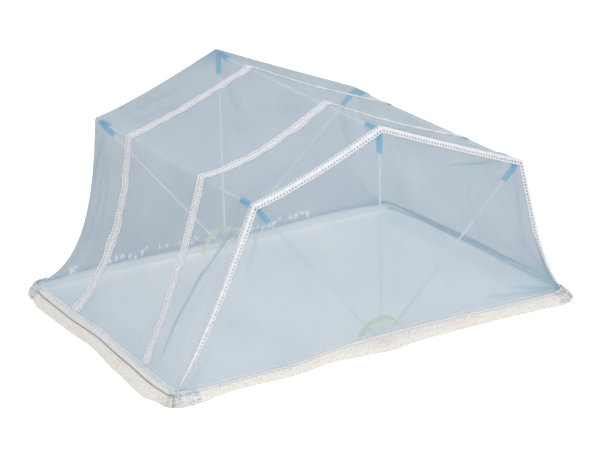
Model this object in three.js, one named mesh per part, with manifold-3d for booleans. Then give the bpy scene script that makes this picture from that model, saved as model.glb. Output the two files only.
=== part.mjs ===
// Crib tent: a sheer net over a fan of three rod bows, with lace tapes and a padded base band.
// Millimetres, +Z up. X runs along the length, -Y is the near side, z = 0 is the floor.
import * as THREE from 'three';
import { mergeVertices } from 'three/addons/utils/BufferGeometryUtils.js';
import Module from 'manifold-3d';

const wasm = await Module();
wasm.setup();

// Driving dimensions
const GAP = 0.3;
const NET = 1.0;
const TAPE = 1.0;
const TAPE_WIDTH = 29;
const LACE_WIDTH = 10;
const SEAM_TOP = 12;
const SEAM_TURN = 11;
const SEAM_MARGIN = 13;
const ROD_RADIUS = 2.5;
const SLEEVE_RADIUS = 6.5;
const SLEEVE_BORE = 3.3;
const SLEEVE_ARM = 48;
const SLEEVE_BEND = 13;
const CLOTH_CLEAR = 2.0;

// The bows turn about one pivot low in each hinge case
const PIVOT_X = 3;
const PIVOT_Z = 3;
const LEG_Y = 343;
const NET_HALF_WIDTH = 352.5;

// Each bow: lean from upright in degrees and length to the corner, at its near and far leg
const BOWS = [
  { name: 'left', leanNear: -39.3, leanFar: -39.3, legNear: 481, legFar: 496 },
  { name: 'middle', leanNear: 0, leanFar: 0, legNear: 479, legFar: 494 },
  { name: 'right', leanNear: 46.7, leanFar: 48.2, legNear: 494, legFar: 509 },
];

// Hinge cases, half discs that stand on the floor
const CASE_RADIUS = 62;
const CASE_THICK = 16;
const CASE_OUTER_Y = 352;
const SOCKET_DEPTH = 13;
const SOCKET_RADIUS = 3.1;

// Base band: a padded strip that leans out from the hem to the floor
const CORNER_RADIUS = 24;
const BAND_THICK = 3.2;
const BAND_FOOT = 5;
const BAND_TUCK = 0.5;
const CORNER_TUCK = 6;
const CORNER_TRIM = 0.4;

// Corners of the hem before they are rounded
const HEM = {
  left: 515, leftFar: 499, right: 487, rightFar: 494, near: 369, far: 360,
};

// Hem of each side from its first corner to its last: how far it bows out, its height,
// and how far the band's foot stands out from it
const SIDES = {
  near: [
    { at: 0.00, out: 0, height: 24, flare: 22 },
    { at: 0.12, out: -2, height: 20, flare: 7 },
    { at: 0.26, out: -2, height: 20, flare: 15 },
    { at: 0.38, out: -13, height: 24, flare: 13 },
    { at: 0.45, out: -16.2, height: 26, flare: 26 },
    { at: 0.52, out: -16.2, height: 26, flare: 36 },
    { at: 0.59, out: -16.2, height: 26, flare: 26 },
    { at: 0.68, out: -11, height: 26, flare: 20 },
    { at: 0.82, out: -3, height: 26, flare: 15 },
    { at: 0.93, out: 2, height: 25, flare: 17 },
    { at: 1.00, out: 0, height: 24, flare: 26 },
  ],
  right: [
    { at: 0.00, out: 0, height: 24, flare: 26 },
    { at: 0.15, out: 7, height: 26, flare: 24 },
    { at: 0.50, out: 12, height: 26, flare: 20 },
    { at: 0.85, out: 5, height: 26, flare: 25 },
    { at: 1.00, out: 0, height: 24, flare: 20 },
  ],
  far: [
    { at: 0.00, out: 0, height: 24, flare: 20 },
    { at: 0.18, out: 4, height: 26, flare: 18 },
    { at: 0.42, out: -7.2, height: 26, flare: 24 },
    { at: 0.58, out: -7.2, height: 26, flare: 28 },
    { at: 0.80, out: 3, height: 25, flare: 20 },
    { at: 1.00, out: 0, height: 24, flare: 18 },
  ],
  left: [
    { at: 0.00, out: 0, height: 24, flare: 18 },
    { at: 0.10, out: 2, height: 26, flare: 28 },
    { at: 0.30, out: 3, height: 26, flare: 24 },
    { at: 0.50, out: -4, height: 26, flare: 24 },
    { at: 0.70, out: -1, height: 26, flare: 32 },
    { at: 0.92, out: 3, height: 26, flare: 35 },
    { at: 1.00, out: 0, height: 24, flare: 24 },
  ],
};

// How much the end faces hang, from a straight drop (0) to steep and then flaring (1),
// and how far the two roof spans sag, across from the near edge (0) to the far edge (1)
const HANG = [
  { at: 0.00, leftSlack: 0.15, rightSlack: 0.28, roofLeft: 8, roofRight: 1 },
  { at: 0.15, leftSlack: 0.10, rightSlack: 0.55, roofLeft: 13, roofRight: 5 },
  { at: 0.31, leftSlack: 0.18, rightSlack: 0.85, roofLeft: 18, roofRight: 6 },
  { at: 0.55, leftSlack: 0.45, rightSlack: 0.95, roofLeft: 13, roofRight: 7 },
  { at: 0.77, leftSlack: 0.70, rightSlack: 0.90, roofLeft: 6, roofRight: 6 },
  { at: 1.00, leftSlack: 1.00, rightSlack: 0.80, roofLeft: 7, roofRight: 1 },
];

// A slack end face leaves the bow steeply and meets the hem almost flat
const SLACK_DROP = { out: 16, down: 195 };
const SLACK_HEM = { inward: 122, up: 17 };

// Folds in the top sheet, as span (0 left hem, 1 to 3 the bows, 4 right hem) and place across
const TOP_FOLDS = [
  { from: [0.97, 0.03], to: [0.55, 0.10], depth: 6, width: 16 },
  { from: [0.55, 0.10], to: [0.12, 0.10], depth: 7, width: 18 },
  { from: [0.93, 0.95], to: [0.20, 0.90], depth: -6, width: 26 },
  { from: [0.85, 0.85], to: [0.15, 0.80], depth: 5, width: 24 },
  { from: [0.75, 0.52], to: [0.15, 0.42], depth: -5, width: 50 },
  { from: [0.85, 0.62], to: [0.25, 0.60], depth: 4, width: 26 },
  { from: [1.25, 0.10], to: [1.75, 0.22], depth: -4, width: 40 },
  { from: [1.30, 0.60], to: [1.80, 0.50], depth: -4, width: 60 },
  { from: [2.15, 0.93], to: [2.75, 0.85], depth: -5, width: 30 },
  { from: [2.20, 0.40], to: [2.80, 0.55], depth: 3, width: 50 },
  { from: [3.15, 0.14], to: [3.85, 0.20], depth: -6, width: 34 },
  { from: [3.30, 0.36], to: [3.90, 0.34], depth: 7, width: 38 },
  { from: [3.20, 0.62], to: [3.88, 0.66], depth: -6, width: 40 },
  { from: [3.15, 0.88], to: [3.85, 0.84], depth: 5, width: 30 },
];

// Folds in the side panels, as x and z, standing outward
const NEAR_FOLDS = [
  { from: [330, 325], to: [190, 318], depth: 4, width: 14 },
  { from: [225, 300], to: [215, 215], depth: 4, width: 12 },
  { from: [330, 290], to: [370, 130], depth: 5, width: 22 },
  { from: [455, 45], to: [330, 60], depth: 5, width: 14 },
  { from: [-300, 340], to: [-370, 90], depth: 4, width: 30 },
  { from: [-150, 380], to: [-200, 100], depth: 3, width: 50 },
];
const FAR_FOLDS = [
  { from: [-290, 350], to: [-390, 80], depth: 5, width: 22 },
  { from: [-60, 420], to: [-180, 90], depth: 4, width: 45 },
  { from: [150, 380], to: [230, 80], depth: 4, width: 40 },
  { from: [330, 310], to: [410, 70], depth: 5, width: 24 },
];

// Tapes along the length: place across at the bows, and how far they stray from straight
const TAPES = [
  { node: 'lace_tape_near', across: 0.305, stray: 3.5 },
  { node: 'lace_tape_far', across: 0.77, stray: 2.0 },
];
const TAPE_END = 6;

// Small helpers
const lerp = THREE.MathUtils.lerp;
const radians = THREE.MathUtils.degToRad;
const smooth = (f) => f * f * (3 - 2 * f);

// Value of one column of a table between its rows, eased from row to row
function look(rows, at, column) {
  const last = rows.length - 1;
  let k = 0;
  while (k < last - 1 && at > rows[k + 1].at) k += 1;
  const f = THREE.MathUtils.clamp((at - rows[k].at) / (rows[k + 1].at - rows[k].at), 0, 1);
  return lerp(rows[k][column], rows[k + 1][column], smooth(f));
}

function signedVolume(points, faces) {
  let sum = 0;
  for (const [a, b, c] of faces) {
    sum += points[a].dot(new THREE.Vector3().crossVectors(points[b], points[c]));
  }
  return sum / 6;
}

function solidFromFaces(points, faces) {
  const turned = signedVolume(points, faces) < 0;
  const index = [];
  for (const [a, b, c] of faces) {
    index.push(a, turned ? c : b, turned ? b : c);
  }
  const geometry = new THREE.BufferGeometry().setFromPoints(points);
  geometry.setIndex(index);
  geometry.computeVertexNormals();
  return geometry;
}

// A loft through closed rings, shut at both ends with a flat fan
function loft(rings) {
  const count = rings[0].length;
  const points = rings.flat();
  const faces = [];
  for (let i = 0; i < rings.length - 1; i += 1) {
    for (let j = 0; j < count; j += 1) {
      const a = i * count + j;
      const b = i * count + ((j + 1) % count);
      faces.push([a, b, b + count], [a, b + count, a + count]);
    }
  }
  const end = (rings.length - 1) * count;
  const outline = rings[0].map((p, j) => j);
  for (const j of outline.slice(1, -1)) {
    faces.push([0, j + 1, j]);
    faces.push([end, end + j, end + j + 1]);
  }
  return solidFromFaces(points, faces);
}

// Outward direction at each point of a grid of middle points
function gridNormals(grid, turn) {
  const rows = grid.length;
  const columns = grid[0].length;
  return grid.map((row, i) => row.map((point, j) => {
    const along = grid[Math.min(i + 1, rows - 1)][j].clone().sub(grid[Math.max(i - 1, 0)][j]);
    const across = row[Math.min(j + 1, columns - 1)].clone().sub(row[Math.max(j - 1, 0)]);
    return along.cross(across).normalize().multiplyScalar(turn);
  }));
}

// A thin cloth: a grid of middle points made solid, half its thickness to each side
function cloth({ grid, normals }, thickness) {
  const rows = grid.length;
  const columns = grid[0].length;
  const points = [];
  for (const side of [0.5, -0.5]) {
    grid.forEach((row, i) => row.forEach((point, j) => {
      points.push(point.clone().addScaledVector(normals[i][j], side * thickness));
    }));
  }
  const lower = rows * columns;
  const faces = [];
  for (let i = 0; i < rows - 1; i += 1) {
    for (let j = 0; j < columns - 1; j += 1) {
      const a = i * columns + j;
      const b = a + columns;
      faces.push([a, b, b + 1], [a, b + 1, a + 1]);
      faces.push([a + lower, b + 1 + lower, b + lower], [a + lower, a + 1 + lower, b + 1 + lower]);
    }
  }
  const rim = [];
  for (let j = 0; j < columns - 1; j += 1) rim.push(j);
  for (let i = 0; i < rows - 1; i += 1) rim.push(i * columns + columns - 1);
  for (let j = columns - 1; j > 0; j -= 1) rim.push((rows - 1) * columns + j);
  for (let i = rows - 1; i > 0; i -= 1) rim.push(i * columns);
  rim.forEach((a, k) => {
    const b = rim[(k + 1) % rim.length];
    faces.push([a, b, b + lower], [a, b + lower, a + lower]);
  });
  return solidFromFaces(points, faces);
}

// Height that a list of folds adds at a place, each a soft ridge along a line
function foldHeight(folds, place, scale) {
  let height = 0;
  for (const fold of folds) {
    const ax = (fold.to[0] - fold.from[0]) * scale[0];
    const ay = (fold.to[1] - fold.from[1]) * scale[1];
    const px = (place[0] - fold.from[0]) * scale[0];
    const py = (place[1] - fold.from[1]) * scale[1];
    const f = THREE.MathUtils.clamp((px * ax + py * ay) / (ax * ax + ay * ay), 0, 1);
    const distance = Math.hypot(px - f * ax, py - f * ay);
    height += fold.depth * Math.exp(-((distance / fold.width) ** 2));
  }
  return height;
}

// Frame: the corner of a bow at a place across, from the near leg (0) to the far leg (1)
function bowCorner(bow, across) {
  const lean = radians(lerp(bow.leanNear, bow.leanFar, across));
  const leg = lerp(bow.legNear, bow.legFar, across);
  return new THREE.Vector3(
    PIVOT_X + leg * Math.sin(lean),
    lerp(-LEG_Y, LEG_Y, across),
    PIVOT_Z + leg * Math.cos(lean),
  );
}

// Hem: one side between its corners, as points with the outward direction, height and flare
function hemSide(name) {
  const corners = {
    near: [[-HEM.left, -HEM.near], [HEM.right, -HEM.near]],
    right: [[HEM.right, -HEM.near], [HEM.rightFar, HEM.far]],
    far: [[HEM.rightFar, HEM.far], [-HEM.leftFar, HEM.far]],
    left: [[-HEM.leftFar, HEM.far], [-HEM.left, -HEM.near]],
  }[name];
  const start = new THREE.Vector2(...corners[0]);
  const end = new THREE.Vector2(...corners[1]);
  const along = end.clone().sub(start).normalize();
  const outward = new THREE.Vector2(along.y, -along.x);
  const length = start.distanceTo(end);
  const points = [];
  const arcSteps = 3;
  const add = (distance, sink, turn, at) => {
    const direction = outward.clone().rotateAround(new THREE.Vector2(), turn);
    const bow = look(SIDES[name], at, 'out');
    const spot = start.clone().addScaledVector(along, distance).addScaledVector(outward, bow - sink);
    points.push({
      x: spot.x,
      y: spot.y,
      outX: direction.x,
      outY: direction.y,
      height: look(SIDES[name], at, 'height'),
      flare: look(SIDES[name], at, 'flare'),
    });
  };
  for (let k = 0; k <= arcSteps; k += 1) {
    const angle = (Math.PI / 4) * (1 - k / arcSteps);
    add(CORNER_RADIUS * (1 - Math.sin(angle)), CORNER_RADIUS * (1 - Math.cos(angle)), -angle, 0);
  }
  const straight = length - 2 * CORNER_RADIUS;
  const steps = Math.round(straight / 32);
  for (let k = 1; k < steps; k += 1) {
    add(CORNER_RADIUS + (straight * k) / steps, 0, 0, k / steps);
  }
  for (let k = 0; k <= arcSteps; k += 1) {
    const angle = (Math.PI / 4) * (k / arcSteps);
    const distance = length - CORNER_RADIUS * (1 - Math.sin(angle));
    add(distance, CORNER_RADIUS * (1 - Math.cos(angle)), angle, 1);
  }
  return points;
}

const HEMS = Object.fromEntries(Object.keys(SIDES).map((name) => [name, hemSide(name)]));

// A point on the hem of one side, as a share of the side's length
function hemAt(name, share) {
  const side = HEMS[name];
  const run = [0];
  for (let k = 1; k < side.length; k += 1) {
    run.push(run[k - 1] + Math.hypot(side[k].x - side[k - 1].x, side[k].y - side[k - 1].y));
  }
  const goal = share * run[run.length - 1];
  let k = 0;
  while (k < side.length - 2 && goal > run[k + 1]) k += 1;
  const f = (goal - run[k]) / (run[k + 1] - run[k]);
  return new THREE.Vector3(
    lerp(side[k].x, side[k + 1].x, f),
    lerp(side[k].y, side[k + 1].y, f),
    lerp(side[k].height, side[k + 1].height, f),
  );
}

// A point on the hem of the near or far side straight below a given x
function hemUnder(name, x) {
  const side = name === 'far' ? [...HEMS.far].reverse() : HEMS.near;
  let k = 0;
  while (k < side.length - 2 && x > side[k + 1].x) k += 1;
  const f = THREE.MathUtils.clamp((x - side[k].x) / (side[k + 1].x - side[k].x), 0, 1);
  return { y: lerp(side[k].y, side[k + 1].y, f), z: lerp(side[k].height, side[k + 1].height, f) };
}

// Distance from the sheet's edge to just past the end of a sleeve
const SLEEVE_REACH = NET_HALF_WIDTH - LEG_Y + SLEEVE_ARM + 3;

// The tape ends lean towards the near side as they go down the left end
const leftShare = (across) => 1 - across ** 1.4;
const rightShare = (across) => across;

// How far the cloth's middle stands off a rod, more over the sleeves at both ends
function standOff(across) {
  const fromEnd = Math.min(across, 1 - across) * 2 * NET_HALF_WIDTH;
  const overSleeve = 1 - THREE.MathUtils.smoothstep(fromEnd, SLEEVE_REACH, SLEEVE_REACH + 35);
  return lerp(ROD_RADIUS, SLEEVE_RADIUS, overSleeve) + CLOTH_CLEAR + NET / 2;
}

// One end face at a place across: its hem, its top on the bow and the two pulls between
function endFace(side, across) {
  const left = side < 0;
  const hem = left ? hemAt('left', leftShare(across)) : hemAt('right', rightShare(across));
  const bar = bowCorner(left ? BOWS[0] : BOWS[2], across);
  bar.y = lerp(-NET_HALF_WIDTH, NET_HALF_WIDTH, across);
  const slack = look(HANG, across, left ? 'leftSlack' : 'rightSlack');
  const drop = new THREE.Vector2(
    lerp((hem.x - bar.x) / 3, side * SLACK_DROP.out, slack),
    lerp((hem.z - bar.z) / 3, -SLACK_DROP.down, slack),
  );
  const facing = new THREE.Vector2(-side * drop.y, side * drop.x).normalize();
  const top = bar.clone();
  top.x += facing.x * standOff(across);
  top.z += facing.y * standOff(across);
  const upperPull = new THREE.Vector3(top.x + drop.x, lerp(top.y, hem.y, 1 / 3), top.z + drop.y);
  const lowerPull = new THREE.Vector3(
    hem.x + lerp((top.x - hem.x) / 3, -side * SLACK_HEM.inward, slack),
    lerp(hem.y, top.y, 1 / 3),
    hem.z + lerp((top.z - hem.z) / 3, SLACK_HEM.up, slack),
  );
  const curve = new THREE.CubicBezierCurve3(hem, lowerPull, upperPull, top);
  return { curve, bar, turn: Math.atan2(facing.y, facing.x) };
}

// The whole line of the top sheet at one place across: faces, wraps over the rods and roof spans
function sheetLine(across) {
  const left = endFace(-1, across);
  const right = endFace(1, across);
  const middle = bowCorner(BOWS[1], across);
  middle.y = left.bar.y;
  const bars = [left.bar, middle, right.bar];
  const roofTurn = (a, b) => Math.atan2(b.z - a.z, b.x - a.x) + Math.PI / 2;
  const turns = [left.turn, roofTurn(bars[0], bars[1]), roofTurn(bars[1], bars[2]), right.turn];
  return { left, right, bars, turns, radius: standOff(across) };
}

function onWrap(bar, radius, turn) {
  return new THREE.Vector3(bar.x + radius * Math.cos(turn), bar.y, bar.z + radius * Math.sin(turn));
}

// Where along the line a place lies, in spans: 0 left hem, 1 to 3 the bows, 4 right hem
const spanPlace = (run) => Math.floor(run / 2) + (Math.floor(run) % 2 === 0 ? run % 1 : 1);

// A middle point of the top sheet before folds. Runs: 0-1 left face, 1-2 wrap, 2-3 roof,
// 3-4 wrap, 4-5 roof, 5-6 wrap, 6-7 right face
function sheetPoint(line, run, across) {
  const part = Math.min(Math.floor(run), 6);
  const f = run - part;
  if (part === 0) return line.left.curve.getPoint(f);
  if (part === 6) return line.right.curve.getPoint(1 - f);
  const k = (part - 1) / 2;
  if (part % 2 === 1) {
    return onWrap(line.bars[k], line.radius, lerp(line.turns[k], line.turns[k + 1], f));
  }
  const first = part / 2 - 1;
  const turn = line.turns[first + 1];
  const point = onWrap(line.bars[first], line.radius, turn)
    .lerp(onWrap(line.bars[first + 1], line.radius, turn), f);
  const depth = look(HANG, across, first === 0 ? 'roofLeft' : 'roofRight');
  const skew = first === 0 ? f ** 0.75 : f;
  point.x -= Math.cos(turn) * depth * Math.sin(Math.PI * skew);
  point.z -= Math.sin(turn) * depth * Math.sin(Math.PI * skew);
  return point;
}

// Rows along the top sheet, closer together at the hems and over the rods
const LACE_TOP = 0.027;
const TAPE_START = 0.03;
const FACE = [0, LACE_TOP, TAPE_START, 0.1, 0.22, 0.36, 0.5, 0.64, 0.78, 0.9];
const ROOF = [0, 0.08, 0.22, 0.36, 0.5, 0.64, 0.78, 0.92];
const ROWS = [
  ...FACE, 1, 1.5, ...ROOF.map((f) => 2 + f), 3, 3.5, ...ROOF.map((f) => 4 + f), 5, 5.5, 6,
  ...FACE.map((f) => 7 - f).reverse(),
];

// Columns across the top sheet, three of them under each tape, which they follow as it strays
const SEAM_FLAT = SEAM_TOP / (2 * NET_HALF_WIDTH);
const TAPE_HALF = TAPE_WIDTH / 2 / (2 * NET_HALF_WIDTH);
const tapeColumns = (tape) => [-TAPE_HALF, 0, TAPE_HALF].map((shift) => ({ at: tape.across + shift, tape }));
const COLUMNS = [
  ...[0, SEAM_FLAT / 2, SEAM_FLAT, 0.05, 0.09, 0.135, 0.18, 0.235].map((at) => ({ at })),
  ...tapeColumns(TAPES[0]),
  ...[0.37, 0.43, 0.49, 0.55, 0.61, 0.67, 0.715].map((at) => ({ at })),
  ...tapeColumns(TAPES[1]),
  ...[0.835, 0.88, 0.912, 0.96, 1].map((at) => ({ at })),
];

function columnPlace(column, run) {
  if (!column.tape) return column.at;
  const stray = column.tape.stray / (2 * NET_HALF_WIDTH);
  return column.at + stray * Math.sin(run * 5.3) * Math.sin(run * 1.7 + 1);
}

// Middle surface of the top sheet with its folds, and its outward direction
function topSurface(run, across) {
  const at = (r, c) => {
    const span = spanPlace(r);
    const hold = Math.sin(Math.PI * (span % 1)) * Math.min(1, 12 * c + 0.1, 12 * (1 - c) + 0.1);
    const lift = hold * foldHeight(TOP_FOLDS, [span, c], [390, 2 * NET_HALF_WIDTH]);
    const line = sheetLine(c);
    const point = sheetPoint(line, r, c);
    return { point, lift };
  };
  const step = 0.002;
  const here = at(run, across);
  const ahead = at(Math.min(run + step, 7), across).point;
  const behind = at(Math.max(run - step, 0), across).point;
  const right = at(run, Math.min(across + step, 1)).point;
  const left = at(run, Math.max(across - step, 0)).point;
  const outward = ahead.sub(behind).cross(right.sub(left)).normalize();
  return here.point.clone().addScaledVector(outward, here.lift);
}

function material(color, roughness) {
  return new THREE.MeshStandardMaterial({ color, roughness, metalness: 0 });
}
const netMaterial = () => material(0x9fb9c6, 0.85);
const laceMaterial = () => material(0xf4f5f6, 0.9);
const bandMaterial = () => material(0xe6e2dc, 0.95);
const rodMaterial = () => material(0xe9eef0, 0.4);
const sleeveMaterial = () => material(0x6fb9dc, 0.35);
const caseMaterial = () => material(0xd9dcc9, 0.5);

function piece(name, geometry, finish) {
  const mesh = new THREE.Mesh(geometry, finish);
  mesh.name = name;
  return mesh;
}

// Net over the roof and both ends, one long sheet
function topSheet() {
  const grid = ROWS.map((run) => COLUMNS.map((column) => topSurface(run, columnPlace(column, run))));
  return { grid, normals: gridNormals(grid, 1) };
}
const TOP = topSheet();

// A point of a cloth lifted off its middle
function lifted(surface, i, j, height) {
  return surface.grid[i][j].clone().addScaledVector(surface.normals[i][j], height);
}

// Five-sided net panel below one edge of the top sheet
function sidePanel(side, folds) {
  const column = side === 'near' ? 0 : COLUMNS.length - 1;
  const out = side === 'near' ? -1 : 1;
  const offEdge = NET / 2 + GAP;
  const middleRows = 6;
  const least = 4;
  const grid = ROWS.map((run, k) => {
    const top = TOP.grid[k][column];
    const hem = hemUnder(side, top.x);
    const height = Math.max(top.z - hem.z, least);
    const lace = Math.min(LACE_WIDTH, 0.35 * height);
    const margin = Math.min(SEAM_MARGIN / Math.max(TOP.normals[k][column].z, 0.3), 0.35 * height);
    const foot = lerp(top.y, hem.y, THREE.MathUtils.smoothstep(height, 12, 45));
    const levels = [0];
    for (let i = 0; i <= middleRows; i += 1) {
      levels.push(lerp(lace, height - margin, i / middleRows));
    }
    levels.push(height);
    return levels.map((level) => {
      const above = THREE.MathUtils.clamp(level / (height - margin), 0, 1);
      const hold = Math.min(1, 4 * above, 4 * (1 - above));
      const fold = hold * foldHeight(folds, [top.x, hem.z + level], [1, 1]);
      const y = lerp(foot, top.y, smooth(above)) + out * (offEdge + fold);
      return new THREE.Vector3(top.x, y, hem.z + level);
    });
  });
  return { grid, normals: gridNormals(grid, -out) };
}
const NEAR = sidePanel('near', NEAR_FOLDS);
const FAR = sidePanel('far', FAR_FOLDS);

// Lace tape laid on the top sheet from the left hem to just over the right bow
function laceTape({ node, across }) {
  const below = NET / 2 + GAP;
  const centre = COLUMNS.findIndex((column) => column.at === across);
  const columns = [centre - 1, centre, centre + 1];
  const rings = [];
  ROWS.forEach((run, i) => {
    if (run < TAPE_START || run > TAPE_END) return;
    const lower = columns.map((j) => lifted(TOP, i, j, below));
    const upper = columns.map((j) => lifted(TOP, i, j, below + TAPE)).reverse();
    rings.push([...lower, ...upper]);
  });
  return piece(node, loft(rings), laceMaterial());
}

// Lace tape over the near seam: flat on the top sheet and turned down over the side panel
function seamTape() {
  const below = NET / 2 + GAP;
  const above = below + TAPE;
  const beside = NET + 2 * GAP;
  const rings = [];
  ROWS.forEach((run, i) => {
    if (run < TAPE_START || run > 7 - TAPE_START) return;
    const off = (height, outside) => {
      const spot = lifted(TOP, i, 0, height);
      spot.y = TOP.grid[i][0].y - outside;
      return spot;
    };
    const column = NEAR.grid[i];
    const height = column[column.length - 1].z - column[0].z;
    const turn = Math.min(SEAM_TURN, 0.12 * (height - LACE_WIDTH));
    rings.push([
      lifted(TOP, i, 2, above),
      lifted(TOP, i, 1, above),
      off(above, beside + TAPE),
      off(-turn, beside + TAPE),
      off(-turn, beside),
      off(below, beside),
      lifted(TOP, i, 1, below),
      lifted(TOP, i, 2, below),
    ]);
  });
  return piece('lace_tape_seam', loft(rings), laceMaterial());
}

// One ring of narrow hem lace over two neighbouring points of a cloth
function laceRing(surface, first, second) {
  const below = NET / 2 + GAP;
  return [
    lifted(surface, ...first, below),
    lifted(surface, ...second, below),
    lifted(surface, ...second, below + TAPE),
    lifted(surface, ...first, below + TAPE),
  ];
}

// Narrow lace along the lower edge of an end face
function endLace(name, left) {
  const first = left ? 0 : ROWS.length - 2;
  const rings = [];
  for (let j = 1; j < COLUMNS.length - 1; j += 1) {
    rings.push(laceRing(TOP, [first, j], [first + 1, j]));
  }
  return piece(name, loft(rings), laceMaterial());
}

// Narrow lace along the lower edge of a side panel, where the panel is tall enough
function sideLace(name, surface) {
  const rings = [];
  surface.grid.forEach((column, i) => {
    if (column[column.length - 1].z - column[0].z < 3 * LACE_WIDTH) return;
    rings.push(laceRing(surface, [i, 0], [i, 1]));
  });
  return piece(name, loft(rings), laceMaterial());
}

// Padded base band of one side, leaning out from the hem to its flat foot on the floor
function baseBand(name, side) {
  const points = HEMS[side];
  const last = points.length - 1;
  const rings = points.map((spot, k) => {
    const across = new THREE.Vector3(spot.outX, spot.outY, 0);
    const along = new THREE.Vector3(-spot.outY, spot.outX, 0);
    const trim = k === 0 ? CORNER_TRIM : (k === last ? -CORNER_TRIM : 0);
    const top = spot.height - NET / 2 - GAP;
    const fromEnd = Math.min(k, last - k);
    const tuck = lerp(CORNER_TUCK, BAND_TUCK, THREE.MathUtils.smoothstep(fromEnd, 3, 5));
    const section = [
      [-tuck, top],
      [spot.flare - BAND_FOOT, 0],
      [spot.flare - 1, 0],
      [spot.flare, 1.6],
      [0.62 * spot.flare + BAND_THICK, 0.5 * top],
      [BAND_THICK, top - 0.4],
      [1.2, top],
    ];
    return section.map(([out, up]) => new THREE.Vector3(spot.x, spot.y, up)
      .addScaledVector(across, out)
      .addScaledVector(along, trim));
  });
  return piece(name, loft(rings), bandMaterial());
}

// A straight rod between two points
function rod(name, from, to) {
  const length = from.distanceTo(to);
  const mesh = piece(name, new THREE.CylinderGeometry(ROD_RADIUS, ROD_RADIUS, length, 8), rodMaterial());
  mesh.position.copy(from).lerp(to, 0.5);
  mesh.quaternion.setFromUnitVectors(new THREE.Vector3(0, 1, 0), to.clone().sub(from).normalize());
  return mesh;
}

// A bent tube that joins a leg to a top rod
function sleeve(name, corner, legEnd, barEnd) {
  const toLeg = legEnd.clone().sub(corner).normalize();
  const toBar = barEnd.clone().sub(corner).normalize();
  const path = new THREE.CurvePath();
  const bendStart = corner.clone().addScaledVector(toLeg, SLEEVE_BEND);
  const bendEnd = corner.clone().addScaledVector(toBar, SLEEVE_BEND);
  path.add(new THREE.LineCurve3(corner.clone().addScaledVector(toLeg, SLEEVE_ARM), bendStart));
  path.add(new THREE.QuadraticBezierCurve3(bendStart, corner, bendEnd));
  path.add(new THREE.LineCurve3(bendEnd, corner.clone().addScaledVector(toBar, SLEEVE_ARM)));
  const ring = new THREE.Shape().absarc(0, 0, SLEEVE_RADIUS, 0, 2 * Math.PI);
  ring.holes.push(new THREE.Path().absarc(0, 0, SLEEVE_BORE, 0, 2 * Math.PI, true));
  const settings = { steps: 12, curveSegments: 4, bevelEnabled: false, extrudePath: path };
  return piece(name, new THREE.ExtrudeGeometry(ring, settings), sleeveMaterial());
}

function asManifold(geometry) {
  const bare = geometry.clone();
  bare.deleteAttribute('normal');
  bare.deleteAttribute('uv');
  const merged = mergeVertices(bare, 1e-4);
  return new wasm.Manifold(new wasm.Mesh({
    numProp: 3,
    vertProperties: new Float32Array(merged.attributes.position.array),
    triVerts: new Uint32Array(merged.index.array),
  }));
}

function asGeometry(solid) {
  const mesh = solid.getMesh();
  const geometry = new THREE.BufferGeometry();
  geometry.setAttribute('position', new THREE.BufferAttribute(mesh.vertProperties, 3));
  geometry.setIndex(new THREE.BufferAttribute(mesh.triVerts, 1));
  return geometry;
}

// Half-disc hinge case with a socket for each leg, standing on the floor
function hingeCase(name, out) {
  const disc = new THREE.Shape();
  disc.moveTo(CASE_RADIUS, 0);
  disc.absarc(0, 0, CASE_RADIUS, 0, Math.PI);
  disc.closePath();
  const block = new THREE.ExtrudeGeometry(disc, {
    depth: CASE_THICK, curveSegments: 24, bevelEnabled: false,
  });
  block.rotateX(Math.PI / 2);
  block.translate(PIVOT_X, out > 0 ? CASE_OUTER_Y : -CASE_OUTER_Y + CASE_THICK, 0);
  let solid = asManifold(block);
  for (const bow of BOWS) {
    const lean = radians(out < 0 ? bow.leanNear : bow.leanFar);
    const length = 2 * SOCKET_DEPTH;
    const socket = new THREE.CylinderGeometry(SOCKET_RADIUS, SOCKET_RADIUS, length, 8);
    socket.translate(0, CASE_RADIUS, 0);
    socket.rotateX(Math.PI / 2);
    socket.rotateY(lean);
    socket.translate(PIVOT_X, out * LEG_Y, PIVOT_Z);
    solid = solid.subtract(asManifold(socket));
  }
  return piece(name, asGeometry(solid), caseMaterial());
}

// One bow: two legs, a top rod and a sleeve at each corner
function bowPieces(bow) {
  const pieces = [];
  const corners = [bowCorner(bow, 0), bowCorner(bow, 1)];
  const rodEnd = SLEEVE_BEND + 2;
  ['near', 'far'].forEach((side, k) => {
    const corner = corners[k];
    const pivot = new THREE.Vector3(PIVOT_X, corner.y, PIVOT_Z);
    const down = pivot.clone().sub(corner).normalize();
    const inward = corners[1 - k].clone().sub(corner).normalize();
    const foot = pivot.clone().addScaledVector(down, -(CASE_RADIUS - SOCKET_DEPTH + 0.5));
    pieces.push(rod(`leg_${bow.name}_${side}`, foot, corner.clone().addScaledVector(down, rodEnd)));
    pieces.push(sleeve(
      `sleeve_${bow.name}_${side}`,
      corner,
      corner.clone().addScaledVector(down, SLEEVE_ARM),
      corner.clone().addScaledVector(inward, SLEEVE_ARM),
    ));
  });
  const run = corners[1].clone().sub(corners[0]).normalize();
  pieces.push(rod(
    `bar_${bow.name}`,
    corners[0].clone().addScaledVector(run, rodEnd),
    corners[1].clone().addScaledVector(run, -rodEnd),
  ));
  return pieces;
}

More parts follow.
